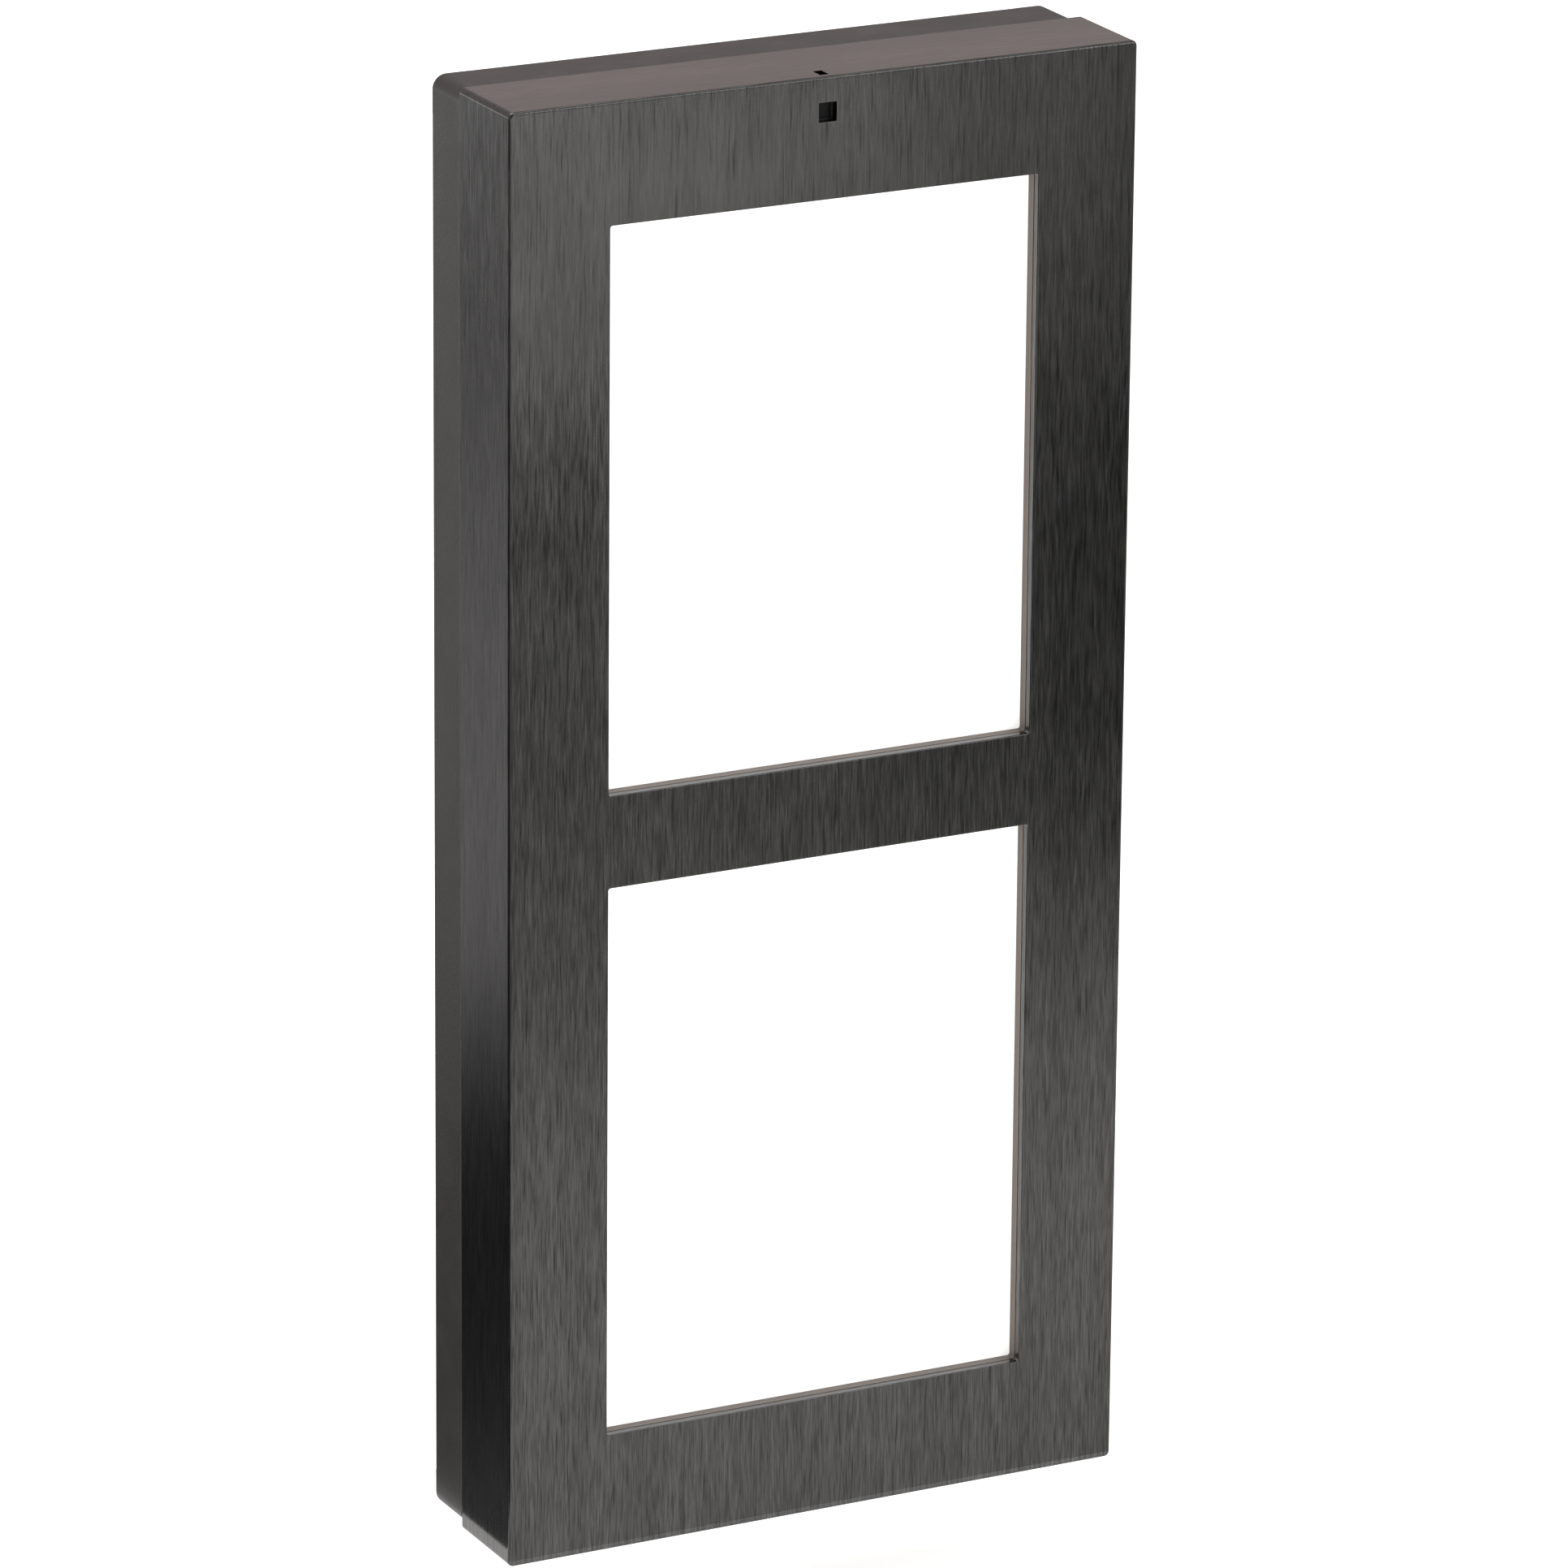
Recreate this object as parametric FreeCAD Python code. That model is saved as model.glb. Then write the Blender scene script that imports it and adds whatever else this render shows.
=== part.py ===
"""Two-field pedestrian light in a flat wall-mounted housing: one STEP file per sub-part, in mm.

X runs to the right, Y from the front face towards the wall, Z up. The origin is at the middle of the
housing's box in plan, on its bottom edge. The hood swings down on two pins at its lower rear edge.
"""
import FreeCAD, Part
import math
import os

V = FreeCAD.Vector

# ---- Driving dimensions ----
WIDTH = 107.0
HEIGHT = 234.0
DEPTH = 28.0
HOOD_DEPTH = 17.2
SHEET = 1.2
HOOD_CORNER_R = 0.9
HOOD_EDGE_R = 0.5
WINDOW_W = 73.0
WINDOW_H = 90.2
WINDOW_MARGIN = 19.3
WINDOW_CORNER_R = 0.4
WINDOW_EDGE_R = 0.2
PANEL_SETBACK = 3.2
PANEL_LAP = 2.0
MOVING_GAP = 0.3

SHELL_INSET = 0.4
SHELL_CORNER_R = 2.3
SHELL_RIM_R = 0.35
SHELL_BACK = 2.0
SPIGOT_WALL = 1.6
SPIGOT_LENGTH = 6.5
SPIGOT_FLOOR = 3.6
SPIGOT_GAP = 0.4

HINGE_SETBACK = 16.2
HINGE_Z = 1.6
PIN_R = 0.8
PIN_PLAY = 0.06
HINGE_X = 40.0
LUG_W = 4.0
KNUCKLE_W = 1.7

EYE_SIZE = 3.1
EYE_Z = 228.45
TOOL_SLOT_W = 1.5
TOOL_SLOT_L = 2.6
LATCH_TRAVEL = 1.3
LEAF = 0.4

SCREW_R = 1.25
EAR_R = 3.4
EAR_X = 45.9
EAR_INSET = 10.0
INSERT_R = 2.0
INSERT_LENGTH = 7.0
WALL_SLOT_X = 44.0
WALL_SLOT_Z = 105.0
WALL_SLOT_R = 2.3
WALL_SLOT_LENGTH = 8.0
CABLE_R = 4.0
GROMMET_R = 9.0
PILOT_R = 1.0
CLAMP_HALF = 15.0
CLAMP_ARCH = 8.0
CLAMP_W = 6.0
CLAMP_T = 1.5
CLAMP_SCREW_X = 12.0
ENTRY_Z = 30.0

# ---- Derived planes and edges ----
FRONT = -DEPTH / 2
WALL = DEPTH / 2
HALF_W = WIDTH / 2
SKIN = FRONT + SHEET
HOOD_REAR = FRONT + HOOD_DEPTH
SHELL_FRONT = HOOD_REAR + MOVING_GAP
PANEL_FRONT = FRONT + PANEL_SETBACK
PANEL_REAR = PANEL_FRONT + 2.0
BOX_FRONT = PANEL_REAR + 0.8
BOX_WALL = 1.5
EAR_REAR = BOX_FRONT + 3.0
BOARD_FRONT = 0.8
BOARD_REAR = BOARD_FRONT + 1.6
BOX_REAR = BOARD_REAR + BOX_WALL
FLOOR = WALL - SHELL_BACK
SPIGOT_HALF = HALF_W - SHEET - SPIGOT_GAP
CAVITY_HALF = SPIGOT_HALF - SPIGOT_WALL
CAVITY_BOTTOM = SPIGOT_FLOOR + SPIGOT_WALL
CAVITY_TOP = HEIGHT - SHEET - SPIGOT_GAP - SPIGOT_WALL
LOWER = (WINDOW_MARGIN, WINDOW_MARGIN + WINDOW_H)
UPPER = (HEIGHT - WINDOW_MARGIN - WINDOW_H, HEIGHT - WINDOW_MARGIN)
HINGE_Y = FRONT + HINGE_SETBACK
HALF_WINDOW = WINDOW_W / 2
LEAD_X = 18.0
UPPER_LEAD_Z = 172.0
LOWER_LEAD_Z = 64.0
TERMINAL_Z = (56.0, 66.0)
TERMINAL_X = (-10.0, -3.4, 3.4, 10.0)
CLAMP_Z = 47.0
CLAMP_SEAT = FLOOR - 2.2
PIN_SWEEP_R = 2.35
DRIVER = {"half": 28.0, "bottom": 78.0, "top": 156.0, "front": 5.8, "rear": 7.0}
BOSS_HALF = 9.0
BOSS_BOTTOM = 220.4
BOSS_TOP = 228.4
BOSS_FRONT = 0.4
LATCH_SCREW_X = 4.5
LATCH_SCREW_Z = 226.0
NOSE_REAR = -8.4
NOSE_TOP = HEIGHT - SHEET - 0.7
ARM_TOP = CAVITY_TOP - 0.2
LEG_FRONT = BOSS_FRONT - 2.0 - 0.1 - LEAF
WEB_TOP = BOSS_BOTTOM + 2.0
SPRING_TOP = WEB_TOP + 4.1
SPRING_Y = LEG_FRONT + LEAF / 2
SPRING_WIRE_R = 0.2
SPRING_COIL_R = 1.4
SPRING_PLAY = 0.15


# ---- Shape helpers ----
def block(x, y, z):
    """A box from three (low, high) pairs."""
    return Part.makeBox(x[1] - x[0], y[1] - y[0], z[1] - z[0], V(x[0], y[0], z[0]))


def rod(radius, start, axis, length):
    return Part.makeCylinder(radius, length, V(*start), V(*axis))


def slab(half, z, y, radius):
    """A plate across X, with its four long edges rounded."""
    plate = block((-half, half), y, z)
    long_edges = [e for e in plate.Edges if abs(e.tangentAt(e.FirstParameter).y) > 0.99]
    return plate.makeFillet(radius, long_edges) if radius else plate


def ring(outer_half, outer_z, inner_half, inner_z, y, outer_r=0.0, inner_r=0.0):
    """A rectangular frame with a rectangular opening."""
    opening = slab(inner_half, inner_z, (y[0] - 1, y[1] + 1), inner_r)
    return slab(outer_half, outer_z, y, outer_r).cut(opening)


def join(shapes):
    """All shapes as one solid."""
    return shapes[0].multiFuse(shapes[1:]).removeSplitter()


def group(shapes):
    """Separate solids in one node."""
    return Part.makeCompound(shapes)


def mirrored(shape):
    """The shape and its mirror image across the middle plane."""
    return [shape, shape.mirror(V(0, 0, 0), V(1, 0, 0))]


def grown(z, by):
    return (z[0] - by, z[1] + by)


def lead(points, bend, radius):
    """A wire's tube: straight runs joined by tangent arcs of one bend radius."""
    points = [V(*p) for p in points]
    edges, at = [], points[0]
    for before, corner, after in zip(points, points[1:], points[2:]):
        into = (corner - before).normalize()
        out = (after - corner).normalize()
        reach = bend * math.tan(into.getAngle(out) / 2)
        first, last = corner - into * reach, corner + out * reach
        inward = (out - into).normalize()
        middle = corner + inward * (math.hypot(bend, reach) - bend)
        edges += [Part.LineSegment(at, first).toShape(), Part.Arc(first, middle, last).toShape()]
        at = last
    edges.append(Part.LineSegment(at, points[-1]).toShape())
    path = Part.Wire(edges)
    section = Part.Wire(Part.makeCircle(radius, points[0], points[1] - points[0]))
    tube = path.makePipeShell([section], True, False)
    print(f"lead: bend {bend} mm, volume ratio {tube.Volume / (path.Length * math.pi * radius ** 2):.4f}")
    return tube


def screw(head_r, head_length, shank_r, shank_length, seat):
    """A pan-head screw along +Y, with a cross recess; seat is the point under its head."""
    x, y, z = seat
    head = rod(head_r, (x, y - head_length, z), (0, 1, 0), head_length)
    rim = [e for e in head.Edges if len(e.Vertexes) == 1 and abs(e.Vertexes[0].Y - y + head_length) < 1e-6]
    head = head.makeFillet(head_length * 0.4, rim)
    slot, depth = head_r * 0.6, head_length * 0.5
    top = y - head_length - 0.1
    for half_x, half_z in ((slot, 0.22), (0.22, slot)):
        cross = block((x - half_x, x + half_x), (top, top + depth), (z - half_z, z + half_z))
        head = head.cut(cross)
    return head.fuse(rod(shank_r, (x, y, z), (0, 1, 0), shank_length)).removeSplitter()


# ---- Hood ----
def front_hood():
    shell = slab(HALF_W, (0, HEIGHT), (FRONT, HOOD_REAR), HOOD_CORNER_R)
    front_edges = [e for e in shell.Edges if all(abs(v.Y - FRONT) < 1e-6 for v in e.Vertexes)]
    shell = shell.makeFillet(HOOD_EDGE_R, front_edges)
    shell = shell.cut(slab(HALF_W - SHEET, (SHEET, HEIGHT - SHEET), (SKIN, HOOD_REAR + 1), 0.3))
    for window in (LOWER, UPPER):
        shell = shell.cut(slab(HALF_WINDOW, window, (FRONT - 1, SKIN + 1), WINDOW_CORNER_R))
    shell = shell.makeFillet(WINDOW_EDGE_R, window_rims(shell))
    half_eye = EYE_SIZE / 2
    shell = shell.cut(slab(half_eye, (EYE_Z - half_eye, EYE_Z + half_eye), (FRONT - 1, SKIN + 1), 0.2))
    slot_half = TOOL_SLOT_W / 2
    shell = shell.cut(block((-slot_half, slot_half), (SKIN, SKIN + TOOL_SLOT_L), (HEIGHT - 2, HEIGHT + 1)))
    for side in (-1, 1):
        shell = shell.cut(hinge_notch(side * HINGE_X))
        knuckles = [knuckle(side * HINGE_X + offset) for offset in knuckle_centres()]
        shell = shell.multiFuse(knuckles)
        shell = shell.cut(rod(PIN_R + PIN_PLAY, (side * HINGE_X - 6, HINGE_Y, HINGE_Z), (1, 0, 0), 12))
    return shell.removeSplitter()


def window_rims(shell):
    """The front edges of both windows."""
    reach = HALF_WINDOW + 0.01
    return [e for e in shell.Edges
            if all(abs(v.Y - FRONT) < 1e-6 and abs(v.X) < reach for v in e.Vertexes)]


def knuckle_centres():
    offset = (LUG_W + KNUCKLE_W) / 2 + MOVING_GAP
    return -offset, offset


def knuckle(x):
    """A hinge eye standing on the hood's bottom wall."""
    low = x - KNUCKLE_W / 2
    eye = rod(HINGE_Z, (low, HINGE_Y, HINGE_Z), (1, 0, 0), KNUCKLE_W)
    foot = block((low, low + KNUCKLE_W), (HINGE_Y - HINGE_Z, HINGE_Y), (0, HINGE_Z))
    return eye.fuse(foot)


def hinge_notch(x):
    """Room in the bottom wall for the rear shell's lug over the whole swing."""
    half = LUG_W / 2 + MOVING_GAP
    return block((x - half, x + half), (HINGE_Y - 1.9, HOOD_REAR + 1), (-1, SHEET + 0.5))


def keeper_clip():
    """A spring-steel clip under the hood's top wall; its lip sits behind the latch's nose."""
    roof = HEIGHT - SHEET
    base = block((-4, 4), (NOSE_REAR + 0.3, NOSE_REAR + 4.6), (roof - LEAF, roof))
    lip = block((-3, 3), (NOSE_REAR + 0.3, NOSE_REAR + 0.3 + LEAF), (ARM_TOP + 0.3, roof))
    return join([base, lip])


# ---- Latch ----
def latch_slider():
    """A folded steel slide: press pad and nose in front, arm, and two slotted guide legs."""
    pad = block((-3.5, 3.5), (SKIN + 0.6, NOSE_REAR), (NOSE_TOP - LEAF, NOSE_TOP))
    step = block((-3.5, 3.5), (NOSE_REAR - LEAF, NOSE_REAR), (ARM_TOP - LEAF, NOSE_TOP))
    arm = block((-3.5, 3.5), (NOSE_REAR - LEAF, LEG_FRONT + LEAF), (ARM_TOP - LEAF, ARM_TOP))
    plate = block((-7, 7), (LEG_FRONT, LEG_FRONT + LEAF), (224.0, ARM_TOP - LEAF))
    neck = block((-3.5, 3.5), (LEG_FRONT, LEG_FRONT + LEAF), (ARM_TOP - 2, ARM_TOP))
    slide = join([pad, step, arm, plate, neck])
    slide = slide.cut(block((-2.2, 2.2), (LEG_FRONT - 1, LEG_FRONT + 1), (223, SPRING_TOP)))
    for x in (-LATCH_SCREW_X, LATCH_SCREW_X):
        slide = slide.cut(guide_slot(x))
    return slide


def guide_slot(x):
    """A slot that runs past the guide screw by the latch's travel."""
    radius = 1.15
    top = LATCH_SCREW_Z + LATCH_TRAVEL + 0.1
    ends = [rod(radius, (x, LEG_FRONT - 1, z), (0, 1, 0), 2) for z in (LATCH_SCREW_Z, top)]
    middle = block((x - radius, x + radius), (LEG_FRONT - 1, LEG_FRONT + 1), (LATCH_SCREW_Z, top))
    return join(ends + [middle])


def latch_spring():
    """A coil of tangent half turns, each a half circle that climbs half the pitch."""
    turns = 5
    low = WEB_TOP + SPRING_WIRE_R
    rise = (SPRING_TOP - SPRING_WIRE_R - low) / (2 * turns)
    halves = []
    for i in range(2 * turns):
        side = 1 if i % 2 == 0 else -1
        first = V(side * SPRING_COIL_R, SPRING_Y, low + i * rise)
        last = V(-side * SPRING_COIL_R, SPRING_Y, low + (i + 1) * rise)
        middle = (first + last) / 2 + V(0, side * (last - first).Length / 2, 0)
        halves.append(Part.Arc(first, middle, last).toShape())
    start = V(SPRING_COIL_R, SPRING_Y, low)
    section = Part.Wire(Part.makeCircle(SPRING_WIRE_R, start, V(0, 1, 0)))
    return Part.Wire(halves).makePipeShell([section], True, False)


def latch_bracket():
    """The moulded bracket that guides the latch and holds the light sensor behind its hole."""
    nest = block((-6, 6), (SKIN + 0.4, -7.0), (BOSS_BOTTOM, 228.6))
    hood_side = block((-6, 6), (SKIN + 0.4, -9.3), (BOSS_BOTTOM, 230.1))
    web = block((-6, 6), (-7.0, BOSS_FRONT), (BOSS_BOTTOM, WEB_TOP))
    plate = block((-BOSS_HALF, BOSS_HALF), (BOSS_FRONT - 2.0, BOSS_FRONT), (BOSS_BOTTOM, BOSS_TOP))
    body = join([nest, hood_side, web, plate])
    body = body.cut(block((-1.35, 1.35), (SKIN, -9.2), (227.1, 231)))
    body = body.cut(block((-5, 5), (-9.2, -8.2), (221.4, 231)))
    body = body.cut(block((-2, 2), (-10.1, -9.1), (225.4, 231)))
    body = body.cut(block((-4, -2), (-8.3, -6), (223.4, 225.6)))
    body = body.cut(rod(1.2, (-3, -5, BOSS_BOTTOM - 1), (0, 0, 1), 4))
    pocket = SPRING_COIL_R + SPRING_WIRE_R + SPRING_PLAY
    body = body.cut(block((-pocket, pocket), (LEG_FRONT, SPRING_Y + pocket), (WEB_TOP, BOSS_TOP)))
    for x in (-LATCH_SCREW_X, LATCH_SCREW_X):
        body = body.cut(rod(PILOT_R, (x, BOSS_FRONT - 3, LATCH_SCREW_Z), (0, 1, 0), 4))
    return body


def latch_screws():
    seat_y = LEG_FRONT - 0.1
    return group([screw(1.9, 1.1, PILOT_R, 9.0, (x, seat_y, LATCH_SCREW_Z))
                  for x in (-LATCH_SCREW_X, LATCH_SCREW_X)])


def light_guide():
    return slab(1.3, (227.15, 229.75), (SKIN + 0.3, -10.1), 0.15)


def sensor_board():
    return block((-4.9, 4.9), (-9.2, -8.2), (221.5, 228.4))


def light_sensor():
    chip = block((-1.2, 1.2), (-9.9, -9.2), (226.9, 228.3))
    return chip.makeChamfer(0.12, [e for e in chip.Edges if all(v.Y < -9.8 for v in e.Vertexes)])


# ---- Rear shell ----
def rear_shell():
    tray_z = (SHELL_INSET, HEIGHT - SHELL_INSET)
    tray = slab(HALF_W - SHELL_INSET, tray_z, (SHELL_FRONT, WALL), SHELL_CORNER_R)
    back_rim = [e for e in tray.Edges if all(abs(v.Y - WALL) < 1e-6 for v in e.Vertexes)]
    tray = tray.makeFillet(SHELL_RIM_R, back_rim)
    spigot_top = CAVITY_TOP + SPIGOT_WALL
    spigot = slab(SPIGOT_HALF, (SPIGOT_FLOOR, spigot_top), (SHELL_FRONT - SPIGOT_LENGTH, SHELL_FRONT), 0.6)
    shell = join([tray, spigot])
    cavity_y = (SHELL_FRONT - SPIGOT_LENGTH - 1, FLOOR)
    shell = shell.cut(slab(CAVITY_HALF, (CAVITY_BOTTOM, CAVITY_TOP), cavity_y, 1.0))
    swing = rod(PIN_SWEEP_R, (-HALF_W - 1, HINGE_Y, HINGE_Z), (1, 0, 0), WIDTH + 2)
    shell = shell.cut(swing).cut(seal_channel()).cut(gasket_channel())
    shell = shell.multiFuse(module_posts() + board_posts() + hinge_lugs() + [latch_boss(), clamp_pad()])
    for hole in insert_holes() + wall_slots() + drain_holes() + board_holes() + rim_reliefs():
        shell = shell.cut(hole)
    shell = shell.cut(rod(GROMMET_R, (0, FLOOR - 1, ENTRY_Z), (0, 1, 0), 4))
    for x in (-LATCH_SCREW_X, LATCH_SCREW_X):
        shell = shell.cut(rod(PILOT_R, (x, BOSS_FRONT - 1, LATCH_SCREW_Z), (0, 1, 0), 8))
    for x in (-CLAMP_SCREW_X, CLAMP_SCREW_X):
        shell = shell.cut(rod(PILOT_R, (x, 8, CLAMP_Z), (0, 1, 0), 5))
    return shell.removeSplitter()


def ear_places():
    """Centres (x, z) of the four screw ears of each light module."""
    heights = [z for window in (LOWER, UPPER) for z in (window[0] + EAR_INSET, window[1] - EAR_INSET)]
    return [(x, z) for x in (-EAR_X, EAR_X) for z in heights]


def module_posts():
    return [rod(EAR_R, (x, EAR_REAR, z), (0, 1, 0), FLOOR - EAR_REAR + 0.2) for x, z in ear_places()]


def insert_holes():
    return [rod(INSERT_R, (x, EAR_REAR - 1, z), (0, 1, 0), INSERT_LENGTH + 2) for x, z in ear_places()]


def board_places():
    inset = 4.0
    return [(x, z) for x in (inset - DRIVER["half"], DRIVER["half"] - inset)
            for z in (DRIVER["bottom"] + inset, DRIVER["top"] - inset)]


def board_posts():
    return [rod(2.6, (x, DRIVER["rear"], z), (0, 1, 0), FLOOR - DRIVER["rear"] + 0.2)
            for x, z in board_places()]


def board_holes():
    return [rod(0.9, (x, DRIVER["rear"] - 1, z), (0, 1, 0), 5.5) for x, z in board_places()]


def hinge_lugs():
    """A lug round each hinge pin, carried by the shell's bottom wall."""
    lugs = []
    for side in (-1, 1):
        low = side * HINGE_X - LUG_W / 2
        eye = rod(1.4, (low, HINGE_Y, HINGE_Z), (1, 0, 0), LUG_W)
        arm = block((low, low + LUG_W), (HINGE_Y, HINGE_Y + 3.4), (0.45, HINGE_Z + 1.4))
        pin_hole = rod(PIN_R, (low - 1, HINGE_Y, HINGE_Z), (1, 0, 0), LUG_W + 2)
        lugs.append(eye.fuse(arm).cut(pin_hole))
    return lugs


def latch_boss():
    return block((-BOSS_HALF, BOSS_HALF), (BOSS_FRONT, FLOOR + 0.2), (BOSS_BOTTOM, BOSS_TOP))


def clamp_pad():
    """The raised pad under the cable clamp's two screws."""
    half = CLAMP_W / 2
    pad = block((-CLAMP_HALF, CLAMP_HALF), (CLAMP_SEAT, FLOOR + 0.2), (CLAMP_Z - half, CLAMP_Z + half))
    return pad.cut(block((-CLAMP_ARCH, CLAMP_ARCH), (CLAMP_SEAT - 1, FLOOR),
                         (CLAMP_Z - half - 1, CLAMP_Z + half + 1)))


def wall_slots():
    """Four slots along X through the back wall for the fixing screws."""
    reach = WALL_SLOT_LENGTH / 2 - WALL_SLOT_R
    slots = []
    for x in (-WALL_SLOT_X, WALL_SLOT_X):
        for z in (HEIGHT / 2 - WALL_SLOT_Z, HEIGHT / 2 + WALL_SLOT_Z):
            ends = [rod(WALL_SLOT_R, (x + s * reach, FLOOR - 1, z), (0, 1, 0), 4) for s in (-1, 1)]
            middle = block((x - reach, x + reach), (FLOOR - 1, FLOOR + 3), (z - WALL_SLOT_R, z + WALL_SLOT_R))
            slots.append(join(ends + [middle]))
    return slots


def drain_holes():
    return [rod(1.5, (x, 8.5, -1), (0, 0, 1), CAVITY_BOTTOM + 2) for x in (-20, 20)]


def rim_reliefs():
    """Shallow set-backs of the rear rim between its corners, so that the shell seats on its corners."""
    y, reach = (WALL - 0.35, WALL + 1), 6.4
    sides = [block((s * HALF_W - 2.2, s * HALF_W + 2.2), y, (reach, HEIGHT - reach)) for s in (-1, 1)]
    ends = [block((reach - HALF_W, HALF_W - reach), y, (z - 2.2, z + 2.2)) for z in (0, HEIGHT)]
    return sides + ends


def seal_band(y):
    """A U along the shoulder's top and sides, in the line of the hood's rim."""
    half = HALF_W - SHEET
    band = ring(half + 0.75, (-2, HEIGHT - SHEET + 0.75), half - 0.05, (-3, HEIGHT - SHEET - 0.05), y)
    return band.common(block((-HALF_W, HALF_W), grown(y, 1), (6, HEIGHT)))


def seal_channel():
    return seal_band((SHELL_FRONT - 1, SHELL_FRONT + 0.8))


def hood_seal():
    return seal_band((SHELL_FRONT, SHELL_FRONT + 0.8))


def gasket_band(y):
    return ring(50.2, (4.0, HEIGHT - 4.0), 48.6, (5.6, HEIGHT - 5.6), y, 1.6, 0.6)


def gasket_channel():
    return gasket_band((WALL - 0.8, WALL + 1))


def wall_gasket():
    return gasket_band((WALL - 0.8, WALL))


def hinge_pins():
    length = LUG_W + 2 * (KNUCKLE_W + MOVING_GAP) + 0.8
    pin = rod(PIN_R, (HINGE_X - length / 2, HINGE_Y, HINGE_Z), (1, 0, 0), length)
    pin = pin.makeChamfer(0.15, [e for e in pin.Edges if len(e.Vertexes) == 1])
    return group(mirrored(pin))


# ---- Light modules ----
def ears(window, y, hole_r):
    """The four screw ears at one window's sides, joined to the part by short arms."""
    parts = []
    for x, z in ear_places():
        if window[0] < z < window[1]:
            side = math.copysign(1, x)
            arm_x = sorted((side * (HALF_WINDOW + 3.0), x))
            ear = rod(EAR_R, (x, y[0], z), (0, 1, 0), y[1] - y[0])
            parts.append(ear.fuse(block(arm_x, y, (z - EAR_R, z + EAR_R))))
    holes = [rod(hole_r, (x, y[0] - 1, z), (0, 1, 0), y[1] - y[0] + 2) for x, z in ear_places()]
    return parts, holes


def bezel(window):
    """The frame that lines the window behind the sheet and holds the panel."""
    flange_y = (SKIN + MOVING_GAP, PANEL_FRONT)
    border, pocket = 5.0, PANEL_LAP + MOVING_GAP
    outer = HALF_WINDOW + border, grown(window, border)
    flange = ring(*outer, HALF_WINDOW, window, flange_y, 1.5, WINDOW_CORNER_R)
    skirt = ring(*outer, HALF_WINDOW + pocket, grown(window, pocket), (PANEL_FRONT, BOX_FRONT), 1.5, 0.5)
    lugs, holes = ears(window, (PANEL_FRONT, BOX_FRONT), SCREW_R + 0.15)
    frame = join([flange, skirt] + lugs)
    frame = frame.cut(slab(HALF_WINDOW, window, (FRONT, PANEL_FRONT + 0.1), WINDOW_CORNER_R))
    frame = frame.cut(slab(HALF_WINDOW + pocket, grown(window, pocket), (PANEL_FRONT, BOX_FRONT + 1), 0.5))
    for hole in holes:
        frame = frame.cut(hole)
    return frame


def opal_panel(window):
    return slab(HALF_WINDOW + PANEL_LAP, grown(window, PANEL_LAP), (PANEL_FRONT, PANEL_REAR), 0.8)


def panel_gasket(window):
    return ring(HALF_WINDOW + PANEL_LAP, grown(window, PANEL_LAP), HALF_WINDOW + MOVING_GAP,
                grown(window, MOVING_GAP), (PANEL_REAR, BOX_FRONT), 0.8, 0.5)


def light_box(window, lead_x, lead_z):
    """The white reflector tray behind the panel."""
    half, z = HALF_WINDOW + 3, grown(window, 3)
    tray = slab(half, z, (BOX_FRONT, BOX_REAR), 1.5)
    lugs, holes = ears(window, (BOX_FRONT, EAR_REAR), SCREW_R + 0.15)
    tray = join([tray] + lugs)
    inner = slab(half - BOX_WALL, grown(z, -BOX_WALL), (BOX_FRONT - 1, BOARD_REAR), 1.0)
    tray = tray.cut(inner).cut(rod(2.0, (lead_x, BOARD_REAR - 1, lead_z), (0, 1, 0), 4))
    for hole in holes:
        tray = tray.cut(hole)
    return tray


def led_board(window):
    return slab(HALF_WINDOW + 1.3, grown(window, 1.3), (BOARD_FRONT, BOARD_REAR), 1.0)


def leds(window):
    """A grid of light-emitting chips on the board's front."""
    columns, rows, pitch, half = 6, 7, 12.4, 1.5
    centre = sum(window) / 2
    chips = []
    for i in range(columns):
        for j in range(rows):
            x = (i - (columns - 1) / 2) * pitch
            z = centre + (j - (rows - 1) / 2) * pitch
            chips.append(block((x - half, x + half), (BOARD_FRONT - 0.7, BOARD_FRONT), (z - half, z + half)))
    return group(chips)


def module_screws():
    length = EAR_REAR + INSERT_LENGTH - PANEL_FRONT
    return group([screw(2.4, 1.5, SCREW_R, length, (x, PANEL_FRONT, z)) for x, z in ear_places()])


def module_inserts():
    """Brass threaded inserts pressed in the posts."""
    sleeves = []
    for x, z in ear_places():
        sleeve = rod(INSERT_R, (x, EAR_REAR, z), (0, 1, 0), INSERT_LENGTH)
        sleeves.append(sleeve.cut(rod(SCREW_R, (x, EAR_REAR - 1, z), (0, 1, 0), 9)))
    return group(sleeves)


# ---- Wiring and driver ----
def driver_board():
    half, z = DRIVER["half"], (DRIVER["bottom"], DRIVER["top"])
    board = slab(half, z, (DRIVER["front"], DRIVER["rear"]), 1.5)
    for x, height in board_places():
        board = board.cut(rod(1.1, (x, DRIVER["front"] - 1, height), (0, 1, 0), 4))
    return board


def board_screws():
    return group([screw(1.9, 1.3, 0.9, 4.8, (x, DRIVER["front"], z)) for x, z in board_places()])


def driver_capacitors():
    radius, length = 2.1, 8.0
    y = DRIVER["rear"] + radius
    cans = []
    for x in (-16, -11, -6):
        can = rod(radius, (x, y, 108), (0, 0, 1), length)
        cans.append(can.makeFillet(0.4, [e for e in can.Edges if len(e.Vertexes) == 1]))
    return group(cans)


def driver_inductor():
    coil = rod(4.4, (8, DRIVER["rear"] + 0.6, 112), (0, 1, 0), 3.2)
    base = block((3.2, 12.8), (DRIVER["rear"], DRIVER["rear"] + 0.6), (107.2, 116.8))
    return join([base, coil])


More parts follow.
